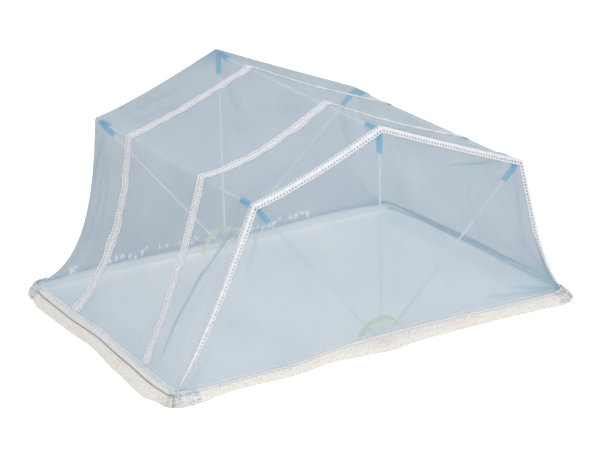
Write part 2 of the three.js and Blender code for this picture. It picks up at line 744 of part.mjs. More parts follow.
const tent = new THREE.Group();
tent.name = 'crib_tent';
tent.add(piece('net_top', cloth(TOP, NET), netMaterial()));
tent.add(piece('net_side_near', cloth(NEAR, NET), netMaterial()));
tent.add(piece('net_side_far', cloth(FAR, NET), netMaterial()));
tent.add(seamTape());
TAPES.forEach((tape) => tent.add(laceTape(tape)));
tent.add(endLace('hem_lace_left', true), endLace('hem_lace_right', false));
tent.add(sideLace('hem_lace_near', NEAR), sideLace('hem_lace_far', FAR));
Object.keys(SIDES).forEach((side) => tent.add(baseBand(`base_band_${side}`, side)));
tent.add(hingeCase('hinge_case_near', -1), hingeCase('hinge_case_far', 1));
BOWS.forEach((bow) => tent.add(...bowPieces(bow)));

// The origin is the middle of the base, on the floor
tent.updateMatrixWorld(true);
const bounds = new THREE.Box3().setFromObject(tent, true);
const middle = bounds.getCenter(new THREE.Vector3());
tent.position.set(-middle.x, -middle.y, -bounds.min.z);

export default tent;
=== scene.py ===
"""Crib tent: a sheer net over a fan of rod bows, with lace tapes and a padded band round its base.

Millimetres in the measures below, metres in Blender. X runs along the tent, -Y is the near side.
"""

import math
from collections import namedtuple
from functools import lru_cache, partial

import bpy
import numpy as np
from mathutils import Matrix, Vector, noise


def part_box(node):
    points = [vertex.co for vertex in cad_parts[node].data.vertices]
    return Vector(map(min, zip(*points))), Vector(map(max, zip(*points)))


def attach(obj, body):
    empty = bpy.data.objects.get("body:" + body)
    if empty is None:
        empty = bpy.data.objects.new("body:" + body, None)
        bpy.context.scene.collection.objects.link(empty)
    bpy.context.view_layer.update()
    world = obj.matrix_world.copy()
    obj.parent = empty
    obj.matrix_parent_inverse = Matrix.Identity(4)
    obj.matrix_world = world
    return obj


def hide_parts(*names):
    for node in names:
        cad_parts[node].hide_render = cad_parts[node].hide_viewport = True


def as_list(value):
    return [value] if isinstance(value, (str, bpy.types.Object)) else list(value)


bl_info = {
    "name": "Crib Tent Net",
    "version": (1, 0, 0),
    "blender": (4, 5, 0),
    "location": "View3D > Sidebar > Crib Tent",
    "description": "Builds a sheer folding crib tent with lace tapes on its rod frame",
    "category": "Object",
}

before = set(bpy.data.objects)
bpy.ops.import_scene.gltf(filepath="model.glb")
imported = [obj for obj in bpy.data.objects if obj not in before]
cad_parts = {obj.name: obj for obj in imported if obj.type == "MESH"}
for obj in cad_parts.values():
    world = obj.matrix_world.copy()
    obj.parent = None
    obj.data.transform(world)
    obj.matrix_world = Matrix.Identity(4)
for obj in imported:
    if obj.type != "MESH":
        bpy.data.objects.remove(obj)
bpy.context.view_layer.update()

MM = 0.001

# Frame of the tent, from the rods' pivot in the hinge cases
PIVOT_X = 3.0
PIVOT_Z = 3.0
LEG_Y = 343.0
CASE_RADIUS = 62.0
CASE_THICK = 16.0
CASE_OUTER_Y = 352.0
CASE_RIM = 3.6
SOCKET_DEPTH = 13.0
ROD_RADIUS = 2.5
SLEEVE_RADIUS = 6.5
SLEEVE_BORE = 3.3
SLEEVE_ARM = 48.0
SLEEVE_BEND = 13.0

# Net: its own thickness, what it stands clear of the rods, and of the band and other sheets
NET = 1.0
CLOTH_CLEAR = 2.0
GAP = 0.3
NET_HALF_WIDTH = 352.5
NET_WIDTH = 2 * NET_HALF_WIDTH
SLEEVE_CLEAR = 3.0
SLEEVE_TAPER = 35.0

# Lengths that set how many rows of points each stretch of net has
FACE_LENGTH = 400.0
ROOF_LENGTH = 330.0
PANEL_HEIGHT = 440.0
WRAP_STEPS = 4

# Least height of a side panel, and the heights between which its foot moves out to the hem
PANEL_LEAST = 4.0
FOOT_EASE = (12.0, 45.0)

# Share of a crease's depth that the cloth rises, and the depth that shows as the deepest colour,
# which is painted shade in the crease
CREASE_RISE = 0.8
FULL_CREASE = 2.2

# The tent's middle lies over the row's origin, so its own frame is shifted by this much
case_low, case_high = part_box("hinge_case_near")
SHIFT = np.array([
    (case_low.x + case_high.x) / 2 - PIVOT_X * MM,
    (case_low.y + case_high.y) / 2 + (CASE_OUTER_Y - CASE_THICK / 2) * MM,
    0.0,
])

Bow = namedtuple("Bow", "name lean_near lean_far leg_near leg_far")
BOWS = [
    Bow("left", -39.3, -39.3, 481.0, 496.0),
    Bow("middle", 0.0, 0.0, 479.0, 494.0),
    Bow("right", 46.7, 48.2, 494.0, 509.0),
]

# Corners of the hem before they are rounded, and the band's section
HEM = {
    "near": ((-515.0, -369.0), (487.0, -369.0)),
    "right": ((487.0, -369.0), (494.0, 360.0)),
    "far": ((494.0, 360.0), (-499.0, 360.0)),
    "left": ((-499.0, 360.0), (-515.0, -369.0)),
}
HEM_STEP = 7.0
CORNER_RADIUS = 24.0
CORNER_STEPS = 7
BAND_THICK = 3.2
BAND_FOOT = 5.0

# Each side of the hem from its first corner: how far it bows out, its height, and the band's flare
Hem = namedtuple("Hem", "at out height flare")
SIDES = {side: [Hem(*row) for row in rows] for side, rows in {
    "near": [(0.00, 0, 24, 22), (0.12, -2, 20, 7), (0.26, -2, 20, 15), (0.38, -13, 24, 13),
             (0.45, -16.2, 26, 26), (0.52, -16.2, 26, 36), (0.59, -16.2, 26, 26),
             (0.68, -11, 26, 20), (0.82, -3, 26, 15), (0.93, 2, 25, 17), (1.00, 0, 24, 26)],
    "right": [(0.00, 0, 24, 26), (0.15, 7, 26, 24), (0.50, 12, 26, 20), (0.85, 5, 26, 25),
              (1.00, 0, 24, 20)],
    "far": [(0.00, 0, 24, 20), (0.18, 4, 26, 18), (0.42, -7.2, 26, 24), (0.58, -7.2, 26, 28),
            (0.80, 3, 25, 20), (1.00, 0, 24, 18)],
    "left": [(0.00, 0, 24, 18), (0.10, 2, 26, 28), (0.30, 3, 26, 24), (0.50, -4, 26, 24),
             (0.70, -1, 26, 32), (0.92, 3, 26, 35), (1.00, 0, 24, 24)],
}.items()}

# How much the end faces hang, and how far the two roof spans sag, across from near (0) to far (1)
Hang = namedtuple("Hang", "at left_slack right_slack roof_left roof_right")
HANG = [
    Hang(0.00, 0.15, 0.28, 8, 1), Hang(0.15, 0.10, 0.55, 13, 5), Hang(0.31, 0.18, 0.85, 18, 6),
    Hang(0.55, 0.45, 0.95, 13, 7), Hang(0.77, 0.70, 0.90, 6, 6), Hang(1.00, 1.00, 0.80, 7, 1),
]
SLACK_DROP = (16.0, 195.0)
SLACK_HEM = (122.0, 17.0)
LEFT_DRAW = 1.4

# Where the net is drawn together, so denser and painted a deeper blue as shade: how much, and over
# how many millimetres
Gather = namedtuple("Gather", "amount reach")
LEFT_HEM = Gather(0.4, 60.0)
RIGHT_HEM = Gather(0.6, (25.0, 110.0))
TOP_CORNER = Gather(1.6, 22.0)
OVER_SLEEVE = Gather(1.8, 32.0)
RIGHT_FOOT = Gather(0.7, 60.0)
LEFT_FOOT = Gather(0.28, 50.0)
FAR_FOOT = Gather(2.1, 13.0)
SIDE_HEM = Gather(0.15, 12.0)
RIGHT_FOOT_X = 470.0
LEFT_FOOT_X = -495.0
FAR_FOOT_X = 478.0
FOOT_Z = 30.0

# Folds run from one place to another, with a depth and a width in millimetres. On the top sheet a
# place is the span (0 left hem, 1 to 3 the bows, 4 right hem) and the share across it.
Fold = namedtuple("Fold", "x0 y0 x1 y1 depth width")
SPAN = (390.0, NET_WIDTH)
TOP_FOLDS = [Fold(*row) for row in (
    (0.97, 0.03, 0.55, 0.10, 6, 16), (0.55, 0.10, 0.12, 0.10, 7, 18),
    (0.93, 0.95, 0.20, 0.90, -6, 26), (0.85, 0.85, 0.15, 0.80, 5, 24),
    (0.75, 0.52, 0.15, 0.42, -5, 50), (0.85, 0.62, 0.25, 0.60, 4, 26),
    (1.25, 0.10, 1.75, 0.22, -4, 40), (1.30, 0.60, 1.80, 0.50, -4, 60),
    (2.15, 0.93, 2.75, 0.85, -5, 30), (2.20, 0.40, 2.80, 0.55, 3, 50),
    (3.15, 0.14, 3.85, 0.20, -6, 34), (3.30, 0.36, 3.90, 0.34, 7, 38),
    (3.20, 0.62, 3.88, 0.66, -6, 40), (3.15, 0.88, 3.85, 0.84, 5, 30),
)]

# Narrow creases of the top sheet, which the real net shows as thin dark lines; their darker colour
# here is painted shade over the denser cover
TOP_CREASES = [Fold(*row) for row in (
    (0.97, 0.04, 0.70, 0.10, 1.4, 3.5), (0.80, 0.065, 0.52, 0.175, 2.4, 3.5),
    (0.60, 0.15, 0.26, 0.22, 3.0, 3.5), (0.36, 0.205, 0.10, 0.225, 2.6, 3.5),
    (0.95, 0.93, 0.30, 0.955, 1.0, 5), (0.90, 0.90, 0.40, 0.87, 0.7, 6),
    (1.05, 0.93, 1.70, 0.90, 0.8, 8), (1.04, 0.88, 1.55, 0.80, 0.7, 9),
    (1.05, 0.06, 1.60, 0.16, 0.5, 9), (1.95, 0.12, 1.45, 0.20, 0.5, 9),
    (2.04, 0.92, 2.60, 0.82, 0.9, 9), (2.05, 0.06, 2.55, 0.14, 0.5, 8),
    (2.95, 0.06, 2.45, 0.20, 0.5, 9), (2.95, 0.94, 2.50, 0.80, 0.6, 10),
    (3.06, 0.06, 3.70, 0.09, 0.8, 5), (3.08, 0.20, 3.75, 0.30, 0.5, 8),
    (3.08, 0.80, 3.80, 0.70, 0.5, 8), (3.95, 0.03, 3.55, 0.10, 0.9, 6),
    (3.97, 0.06, 3.50, 0.22, 0.7, 7),
)]

# Folds and creases of the side panels, whose places are x and z, standing outward
NEAR_FOLDS = [Fold(*row) for row in (
    (330, 325, 190, 318, 2, 14), (225, 300, 215, 215, 2, 14), (330, 290, 370, 130, 3, 22),
    (455, 45, 330, 60, 3, 14), (-300, 340, -370, 90, 4, 30), (-150, 380, -200, 100, 3, 50),
)]
NEAR_CREASES = [Fold(*row) for row in (
    (330, 357, 172, 376, 2.1, 3.5), (226, 356, 225, 280, 0.9, 4), (225, 292, 266, 180, 0.9, 4),
    (465, 34, 335, 64, 1.3, 4), (455, 32, 255, 57, 1.1, 3.5), (456, 40, 392, 98, 0.9, 5),
    (354, 330, 364, 235, 0.7, 5), (30, 465, 70, 400, 0.6, 8), (-285, 372, -330, 250, 0.8, 6),
    (-480, 30, -440, 75, 0.9, 6),
)]
FAR_FOLDS = [Fold(*row) for row in (
    (-290, 350, -390, 80, 5, 22), (-60, 420, -180, 90, 4, 45), (150, 380, 230, 80, 4, 40),
    (330, 310, 410, 70, 5, 24),
)]
FAR_CREASES = [Fold(*row) for row in (
    (-300, 345, -350, 190, 1.6, 7), (20, 460, 60, 340, 1.2, 9), (350, 300, 385, 170, 1.5, 7),
    (-440, 34, -380, 80, 1.5, 7),
)]

# Lengthwise tapes: place across and how far each strays. A tape's threads pull it aside, widen
# it and lift its edges by so much, each over its own length. Then the seam tape and the hem lace.
TAPES = {"lace_tape_near": (0.305, 3.5), "lace_tape_far": (0.77, 2.0)}
TAPE_WIDTH = 29.0
TAPE_THICK = 0.8
TAPE_LIFT = 1.3
TAPE_START = 0.03
TAPE_END = 6.0
TAPE_PULL = (2.4, 30.0)
TAPE_WIDEN = (0.10, 40.0)
TAPE_RIPPLE = (1.6, 26.0)
TAPE_ROWS = 900
SEAM_TOP = 12.0
SEAM_TURN = 11.0
SEAM_MARGIN = 13.0
SEAM_WIDEN = (0.03, 60.0)
LACE_WIDTH = 10.0
LACE_CROSS = 13
LACE_PICOT = 1.2
LACE_PICOT_PITCH = 7.0

# Share of the band's face that the ridged trim covers above its groove, the trim's cords and their
# height, how dark the groove is painted as shade, and the pad's swell
Face = namedtuple("Face", "trim cords ridge groove pucker")
FACES = {
    "near": Face(0.14, 2, 0.9, 0.05, 0.9),
    "right": Face(0.20, 2, 1.0, 0.3, 0.6),
    "far": Face(0.20, 2, 0.8, 0.2, 0.6),
    "left": Face(0.25, 3, 1.3, 0.95, 0.9),
}


# Settings

def hex_colour(text):
    """An sRGB hex value as linear red, green and blue, and full cover."""
    values = [int(text[k:k + 2], 16) / 255 for k in (0, 2, 4)]
    return (*(v / 12.92 if v <= 0.04045 else ((v + 0.055) / 1.055) ** 2.4 for v in values), 1.0)


def setting(name, description, default, low, high, **kind):
    """A number that a user may change, between low and high."""
    return bpy.props.FloatProperty(name=name, description=description, default=default, min=low,
                                   max=high, **kind)


def length_setting(name, description, *millimetres):
    return setting(name, description, *(value * MM for value in millimetres), unit="LENGTH")


def angle_setting(name, description, degrees):
    return setting(name, description, math.radians(degrees), -math.pi, math.pi, subtype="ANGLE")


def colour_setting(name, description, text):
    return bpy.props.FloatVectorProperty(name=name, description=description, subtype="COLOR",
                                         size=4, min=0, max=1, default=hex_colour(text))


class TentSizes(bpy.types.PropertyGroup):
    """Sizes that change how fine the tent's cloth and lace are"""

    net_pitch: length_setting("Net mesh", "Distance between the net's holes", 1.6, 0.5, 5)
    cloth_step: length_setting("Cloth step", "Distance between the net's own points", 5, 4, 30)
    lace_pitch: length_setting("Lace repeat", "Length of one repeat of the tapes", 6.8, 4, 20)
    lace_hole: length_setting("Lace hole", "Width of the holes in the lace tapes", 4.2, 1, 6)
    net_cover: setting("Net cover", "Share of the view that the net's threads cover",
                       0.60, 0.1, 0.95, subtype="FACTOR")


class TentColours(bpy.types.PropertyGroup):
    """Colours of the tent's materials"""

    net: colour_setting("Net", "Thread of the knitted net", "97a9b7")
    # Deeper blue of the net's creases and gathers: painted shade
    net_shade: colour_setting("Net folds", "Net where it is creased or drawn together", "79a4b7")
    lace: colour_setting("Lace", "Cotton of the tapes and of the left hem's braid", "f0f0f3")
    band: colour_setting("Band", "Brushed cotton of the base band", "dedcd9")
    rod: colour_setting("Rods", "Glass-fibre rods", "fafcfd")
    sleeve: colour_setting("Sleeves", "Soft PVC elbow tube", "58d5fa")
    case: colour_setting("Hinge case", "Milky web of the hinge cases", "f1f6ee")
    case_rim: colour_setting("Case rim", "Yellowed rim of the hinge cases", "fdfce6")
    loops: colour_setting("Corner loops", "Thread of the left near corner's loops", "eef3f4")


class StageSettings(bpy.types.PropertyGroup):
    """Camera and lights"""

    azimuth: angle_setting("Azimuth", "Camera's turn round the tent", -30.95)
    elevation: angle_setting("Elevation", "Camera's height above the floor", 20.07)
    roll: angle_setting("Roll", "Camera's turn about its own axis", -1.37)
    distance: setting("Distance", "From the camera to the middle of the tent", 4.4971, 1, 20,
                      unit="LENGTH")
    lens: setting("Lens", "Focal length of the camera", 118.6, 20, 300, unit="CAMERA")
    sky: setting("Room light", "Strength of the white room round the tent", 0.74, 0, 5)
    glow: setting("Floor glow", "Light that the white floor sheet passes from below", 0.35, 0, 2)
    key: setting("Key light", "Power of the large soft light above the near side", 40, 0, 500)


# Tables and curves

def look(rows, at, column):
    """Value of one column of a table, eased from row to row."""
    places = np.array([row.at for row in rows])
    values = np.array([getattr(row, column) for row in rows], float)
    k = np.clip(np.searchsorted(places, at, side="right") - 1, 0, len(rows) - 2)
    return mix(values[k], values[k + 1], eased(at, places[k], places[k + 1]))


def mix(a, b, f):
    """What lies a share of the way from a to b."""
    return a + (b - a) * f


def eased(value, low, high):
    """0 below low, 1 above high and a smooth step between."""
    f = np.clip((value - low) / (high - low), 0, 1)
    return f * f * (3 - 2 * f)


def bell(distance, width):
    """1 at no distance, falling away smoothly over a width."""
    return np.exp(-(distance / width) ** 2)


def ridge(folds, x, y, scale=(1.0, 1.0)):
    """Height of a list of soft ridges at places x and y, which scale turns to millimetres."""
    height = np.zeros(np.shape(x))
    for fold in folds:
        run_x, run_y = (fold.x1 - fold.x0) * scale[0], (fold.y1 - fold.y0) * scale[1]
        from_x, from_y = (x - fold.x0) * scale[0], (y - fold.y0) * scale[1]
        f = np.clip((from_x * run_x + from_y * run_y) / (run_x ** 2 + run_y ** 2), 0, 1)
        fade = np.sin(np.pi * (0.08 + 0.84 * f)) ** 0.7
        away = np.hypot(from_x - f * run_x, from_y - f * run_y)
        height = height + fold.depth * fade * bell(away, fold.width)
    return height


def wander(value, seed, size):
    """A smooth random number from about -1 to 1 that changes over size."""
    return noise.noise(Vector((value / size, seed * 17.3, 4.1))) * 2


def uneven(values, seed, amount, size):
    """Smooth random numbers of about an amount, for many values."""
    return amount * np.array([wander(value, seed, size) for value in values])


def lengths(points):
    """Distance along a line of points, from its start."""
    steps = np.linalg.norm(np.diff(points, axis=0), axis=1)
    return np.concatenate([[0], np.cumsum(steps)])


# Hem line

def hem_side(name):
    """Points of one side of the hem: x, y, outward x and y, height and flare in columns."""
    start, end = (np.array(corner) for corner in HEM[name])
    length = np.linalg.norm(end - start)
    along = (end - start) / length
    outward = np.array([along[1], -along[0]])
    straight = length - 2 * CORNER_RADIUS
    steps = round(straight / HEM_STEP)
    turns = [math.pi / 4 * k / CORNER_STEPS for k in range(CORNER_STEPS + 1)]
    arc = [(CORNER_RADIUS * (1 - math.sin(t)), CORNER_RADIUS * (1 - math.cos(t)), t) for t in turns]

    # Distance along, distance in, turn of the outward direction, and place in the side's table
    places = [(distance, sink, -turn, 0) for distance, sink, turn in reversed(arc)]
    places += [(CORNER_RADIUS + straight * k / steps, 0, 0, k / steps) for k in range(1, steps)]
    places += [(length - distance, sink, turn, 1) for distance, sink, turn in arc]
    rows = []
    for distance, sink, turn, at in places:
        c, s = math.cos(turn), math.sin(turn)
        out, height, flare = (look(SIDES[name], at, column) for column in ("out", "height", "flare"))
        spot = start + along * distance + outward * (out - sink)
        rows.append([*spot, c * outward[0] - s * outward[1], s * outward[0] + c * outward[1],
                     height, flare])
    return np.array(rows)


HEMS = {name: hem_side(name) for name in SIDES}


def hem_at(name, share):
    """A point on the hem of one side, as a share of the side's length."""
    side = HEMS[name]
    run = lengths(side[:, :2])
    return np.array([np.interp(share * run[-1], run, side[:, column]) for column in (0, 1, 4)])


def hem_under(name, x):
    """Place across and height of the near or far hem straight below x."""
    side = HEMS[name] if name == "near" else HEMS[name][::-1]
    return np.interp(x, side[:, 0], side[:, 1]), np.interp(x, side[:, 0], side[:, 4])


# Net

def bow_corner(bow, across):
    """A point on the top rod of a bow, from its near corner (0) to its far one (1)."""
    lean = math.radians(mix(bow.lean_near, bow.lean_far, across))
    leg = mix(bow.leg_near, bow.leg_far, across)
    return np.array([PIVOT_X + leg * math.sin(lean), mix(-LEG_Y, LEG_Y, across),
                     PIVOT_Z + leg * math.cos(lean)])


def stand_off(across):
    """How far the cloth stands off a rod's line, more over the sleeves."""
    reach = NET_HALF_WIDTH - LEG_Y + SLEEVE_ARM + SLEEVE_CLEAR
    from_end = min(across, 1 - across) * NET_WIDTH
    over_sleeve = 1 - float(eased(from_end, reach, reach + SLEEVE_TAPER))
    return mix(ROD_RADIUS, SLEEVE_RADIUS, over_sleeve) + CLOTH_CLEAR + NET / 2


def end_face(side, across):
    """Pull points of one end face's line, its bow's corner and the way it leaves the rod."""
    left = side < 0
    hem = hem_at("left", 1 - across ** LEFT_DRAW) if left else hem_at("right", across)
    bar = bow_corner(BOWS[0] if left else BOWS[2], across)
    bar[1] = mix(-NET_HALF_WIDTH, NET_HALF_WIDTH, across)
    slack = look(HANG, across, "left_slack" if left else "right_slack")
    drop = np.array([
        mix((hem[0] - bar[0]) / 3, side * SLACK_DROP[0], slack),
        mix((hem[2] - bar[2]) / 3, -SLACK_DROP[1], slack),
    ])
    facing = np.array([-side * drop[1], side * drop[0]]) / np.linalg.norm(drop)
    top = bar + np.array([facing[0], 0, facing[1]]) * stand_off(across)
    upper = np.array([top[0] + drop[0], mix(top[1], hem[1], 1 / 3), top[2] + drop[1]])
    lower = np.array([
        hem[0] + mix((top[0] - hem[0]) / 3, -side * SLACK_HEM[0], slack),
        mix(hem[1], top[1], 1 / 3),
        hem[2] + mix((top[2] - hem[2]) / 3, SLACK_HEM[1], slack),
    ])
    return (hem, lower, upper, top), bar, math.atan2(facing[1], facing[0])


def bezier(pulls, f):
    """Point at a share of a smooth curve drawn by its two ends and two pulls between them."""
    a, b, c, d = pulls
    g = 1 - f
    return a * g ** 3 + 3 * b * g * g * f + 3 * c * g * f * f + d * f ** 3


def direction(turn):
    """The way that a turn about the tent's width faces."""
    return np.array([math.cos(turn), 0, math.sin(turn)])


def sheet_line(runs, across):
    """Points of the top sheet's line at one place across. Runs: 0-1 left face, 1-2 wrap, 2-3 roof,
    3-4 wrap, 4-5 roof, 5-6 wrap, 6-7 right face."""
    left_pulls, left_bar, left_turn = end_face(-1, across)
    right_pulls, right_bar, right_turn = end_face(1, across)
    middle = bow_corner(BOWS[1], across)
    middle[1] = left_bar[1]
    bars = [left_bar, middle, right_bar]
    roofs = [math.atan2(b[2] - a[2], b[0] - a[0]) + math.pi / 2 for a, b in zip(bars, bars[1:])]
    turns = [left_turn, *roofs, right_turn]
    radius = stand_off(across)
    sags = [look(HANG, across, name) for name in ("roof_left", "roof_right")]
    points = []
    for run in runs:
        part = min(int(run), 6)
        f = run - part
        k = (part - 1) // 2
        if part == 0:
            point = bezier(left_pulls, f)
        elif part == 6:
            point = bezier(right_pulls, 1 - f)
        elif part % 2 == 1:
            point = bars[k] + radius * direction(mix(turns[k], turns[k + 1], f))
        else:
            # The left roof hangs lowest a little left of its middle
            sag = sags[k] * math.sin(math.pi * (f ** 0.75 if k == 0 else f))
            point = mix(bars[k], bars[k + 1], f) + (radius - sag) * direction(turns[k + 1])
        points.append(point)
    return np.array(points)


class Sheet:
    """A grid of cloth points with outward directions, read at any row and column place."""

    def __init__(self, rows, columns, grid, turn):
        self.rows, self.columns, self.grid = rows, columns, grid
        normals = np.cross(np.gradient(grid, axis=0), np.gradient(grid, axis=1)) * turn
        self.normals = normals / np.maximum(np.linalg.norm(normals, axis=2, keepdims=True), 1e-9)

    def at(self, row, column, lift=0.0):
        i = np.interp(row, self.rows, np.arange(len(self.rows)))
        j = np.interp(column, self.columns, np.arange(len(self.columns)))
        i0 = np.clip(i.astype(int), 0, len(self.rows) - 2)
        j0 = np.clip(j.astype(int), 0, len(self.columns) - 2)
        fi, fj = (i - i0)[..., None], (j - j0)[..., None]
        point, normal = (mix(mix(field[i0, j0], field[i0, j0 + 1], fj),
                             mix(field[i0 + 1, j0], field[i0 + 1, j0 + 1], fj), fi)
                         for field in (self.grid, self.normals))
        return point + normal * np.asarray(lift)[..., None]


def make_top_sheet(step):
    """The top sheet in rows about a step apart, closer over the rods, with its folds and creases."""
    face, roof = round(FACE_LENGTH / step), round(ROOF_LENGTH / step)
    counts = (face, WRAP_STEPS, roof, WRAP_STEPS, roof, WRAP_STEPS, face)
    rows = np.array([*(part + k / count for part, count in enumerate(counts) for k in range(count)),
                     len(counts)])
    columns = np.linspace(0, 1, round(NET_WIDTH / step) + 1)
    grid = np.stack([sheet_line(rows, c) for c in columns], axis=1)
    plain = Sheet(rows, columns, grid, 1)
    whole = np.floor(rows).astype(int)
    spans = np.where(whole % 2 == 0, whole // 2 + (rows - whole), whole // 2 + 1)
    spans[-1] = 4.0
    span, across = np.meshgrid(spans, columns, indexing="ij")

    # The cloth is held at the rods and hems, and at its two edges
    edge = 12 * np.minimum(across, 1 - across) + 0.1
    hold = np.sin(np.pi * (span % 1)) * np.minimum(1, edge)
    crease = ridge(TOP_CREASES, span, across, SPAN)
    lift = hold * ridge(TOP_FOLDS, span, across, SPAN)
    lift = lift + np.minimum(1, 2 * hold) * crease * CREASE_RISE
    shown = Sheet(rows, columns, grid + plain.normals * lift[..., None], 1)
    shown.crease = np.clip(crease / FULL_CREASE, 0, 1)
    shown.gather = gathered_top(span, across)
    return shown


def drawn(gather, x, y):
    """How much the net is drawn together at x, y from where that is strongest."""
    return gather.amount * np.exp(-np.hypot(x, y) / gather.reach)


def gathered_top(span, across):
    """How much the top sheet is drawn together, which makes it denser and paints it a deeper blue as
    shade: at the hems, the far right corner, and over the middle bow's far sleeve."""
    from_far = (1 - across) * NET_WIDTH
    from_left, from_right = span * SPAN[0], (4 - span) * SPAN[0]
    from_middle = (span - 2) * SPAN[0] * 2 / 3
    right = (1 - eased(from_right, *RIGHT_HEM.reach)) * RIGHT_HEM.amount
    return np.clip(right + drawn(LEFT_HEM, from_left, 0)
                   + drawn(TOP_CORNER, from_right, from_far)
                   + drawn(OVER_SLEEVE, from_middle, from_far), 0, 1.8)


def make_side_panel(side, top, folds, creases, step):
    """Five-sided net panel below one edge of the top sheet."""
    column, out = (0, -1) if side == "near" else (-1, 1)
    edge = top.grid[:, column]
    hem_y, hem_z = hem_under(side, edge[:, 0])
    height = np.maximum(edge[:, 2] - hem_z, PANEL_LEAST)

    # Rows of points: at the hem, from above the hem lace to below the seam margin, and at the seam
    most = 0.35 * height
    lace = np.minimum(LACE_WIDTH, most)
    margin = np.minimum(SEAM_MARGIN / np.maximum(top.normals[:, column, 2], 0.3), most)
    count = round(PANEL_HEIGHT / step)
    levels = [np.zeros(len(edge))]
    levels += [mix(lace, height - margin, k / count) for k in range(count + 1)]
    level = np.stack([*levels, height], axis=1)
    above = np.clip(level / (height - margin)[:, None], 0, 1)
    hold = np.minimum(1, 4 * np.minimum(above, 1 - above))
    foot = mix(edge[:, 1], hem_y, eased(height, *FOOT_EASE))
    x = np.repeat(edge[:, :1], level.shape[1], axis=1)
    z = hem_z[:, None] + level
    crease = ridge(creases, x, z)
    lift = hold * (ridge(folds, x, z) + CREASE_RISE * crease)
    y = mix(foot[:, None], edge[:, 1:2], eased(above, 0, 1)) + out * (NET / 2 + GAP + lift)
    grid = np.stack([x, y, z], axis=2)
    sheet = Sheet(np.arange(len(edge)), np.arange(level.shape[1]), grid, -out)
    sheet.crease = np.clip(crease / FULL_CREASE, 0, 1)

    # The cloth is drawn together at its hem and its two lower corners, most at the far right one;
    # there it is denser and painted a deeper blue as shade
    up = z - FOOT_Z
    gather = drawn(SIDE_HEM, 0, level)
    gather = gather + drawn(RIGHT_FOOT, x - RIGHT_FOOT_X, up) + drawn(LEFT_FOOT, x - LEFT_FOOT_X, up)
    if side == "far":
        gather = gather + drawn(FAR_FOOT, x - FAR_FOOT_X, 1.3 * up)
    sheet.gather = np.clip(gather, 0, 2)
    return sheet


@lru_cache
def tent_sheets(step):
    """The three net sheets, made once and shared by the pieces that lie on them."""
    top = make_top_sheet(step)
    return {"net_top": top,
            "net_side_near": make_side_panel("near", top, NEAR_FOLDS, NEAR_CREASES, step),
            "net_side_far": make_side_panel("far", top, FAR_FOLDS, FAR_CREASES, step)}


# Meshes

def new_piece(name, points, faces, material, slot, node=None, smooth=True):
    """A mesh object from points in the tent's own millimetres. It rides on the frame, takes the
    given material, and may stand for a node. Its slot is not used."""
    mesh = bpy.data.meshes.new(name)
    mesh.from_pydata((np.asarray(points, float) * MM + SHIFT).tolist(), [], faces)
    mesh.update()
    mesh.polygons.foreach_set("use_smooth", [smooth] * len(mesh.polygons))
    mesh.materials.append(material)
    piece = bpy.data.objects.new(name, mesh)
    bpy.context.scene.collection.objects.link(piece)
    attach(piece, "root")
    if node:
        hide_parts(node)
    return piece


def write_values(piece, **values):
    """Stores numbers or vectors, one for each point, for the materials to read."""
    for name, field in values.items():
        field = np.asarray(field, np.float32)
        kind, key = ("FLOAT_VECTOR", "vector") if field.ndim == 2 else ("FLOAT", "value")
        layer = piece.data.attributes.new(name, kind, "POINT")
        layer.data.foreach_set(key, field.ravel())


def grid_faces(rows, columns, closed=False):
    """Four-sided faces over rows of points, and round each row where it is closed."""
    faces = []
    for i in range(rows - 1):
        for j in range(columns if closed else columns - 1):
            k = (j + 1) % columns
            low, high = i * columns, (i + 1) * columns
            faces.append((low + j, high + j, high + k, low + k))
    return faces


def end_caps(rows, columns):
    """The two end faces of a closed grid."""
    last = (rows - 1) * columns
    return [tuple(range(columns)), tuple(range(last, last + columns))[::-1]]


def cloth_area(grid):
    """Area of a grid of points, in square metres."""
    a = grid[1:, :-1] - grid[:-1, :-1]
    b = grid[:-1, 1:] - grid[:-1, :-1]
    return float(np.linalg.norm(np.cross(a, b), axis=2).sum()) * MM * MM


def tube(points, radii, sides=16, caps=True):
    """Points and faces of a tube along a line, of one radius or one for each point."""
    points = np.asarray(points, float)
    tangents = np.gradient(points, axis=0)
    tangents /= np.linalg.norm(tangents, axis=1, keepdims=True)
    angles = np.arange(sides) * 2 * math.pi / sides
    side = np.cross(tangents[0], (0, 0, 1) if abs(tangents[0][2]) < 0.9 else (0, 1, 0))
    rings = []
    for point, tangent, radius in zip(points, tangents, np.broadcast_to(radii, len(points))):
        side = side - tangent * (side @ tangent)
        side = side / np.linalg.norm(side)
        other = np.cross(tangent, side)
        ring = np.outer(np.cos(angles), side) + np.outer(np.sin(angles), other)
        rings.append(point + radius * ring)
    faces = grid_faces(len(rings), sides, closed=True)
    return np.concatenate(rings), faces + (end_caps(len(rings), sides) if caps else [])


def joined(parts):
    """Points and faces of several meshes as one."""
    points, faces, start = [], [], 0
    for some_points, some_faces in parts:
        points.append(some_points)
        faces += [tuple(index + start for index in face) for face in some_faces]
        start += len(some_points)
    return np.concatenate(points), faces


# Materials. A map range takes a value, its two ends, and what these turn to. A wave texture has a
# band every size where its scale is WAVE / size.

WAVE = 0.32


def add_node(tree, kind, inputs=(), output=0, **settings):
    """Adds one node, sets or links its inputs, in order or by name, and gives one output."""
    node = tree.nodes.new("ShaderNode" + kind)
    for key, value in settings.items():
        setattr(node, key, value)
    for key, value in inputs.items() if isinstance(inputs, dict) else enumerate(inputs):
        if isinstance(value, bpy.types.NodeSocket):
            tree.links.new(value, node.inputs[key])
        else:
            node.inputs[key].default_value = value
    return node.outputs[output] if node.outputs else None


def new_material(name):
    """A material with no nodes yet, and the function that adds a node to it."""
    material = bpy.data.materials.new(name)
    material.use_nodes = True
    material.node_tree.nodes.clear()
    return material, partial(add_node, material.node_tree)


def layered(add, colour, layers):
    """A colour with other colours over it, each by its own factor."""
    for factor, over in layers:
        colour = add("Mix", {0: factor, 6: colour, 7: over}, output=2, data_type="RGBA")
    return colour


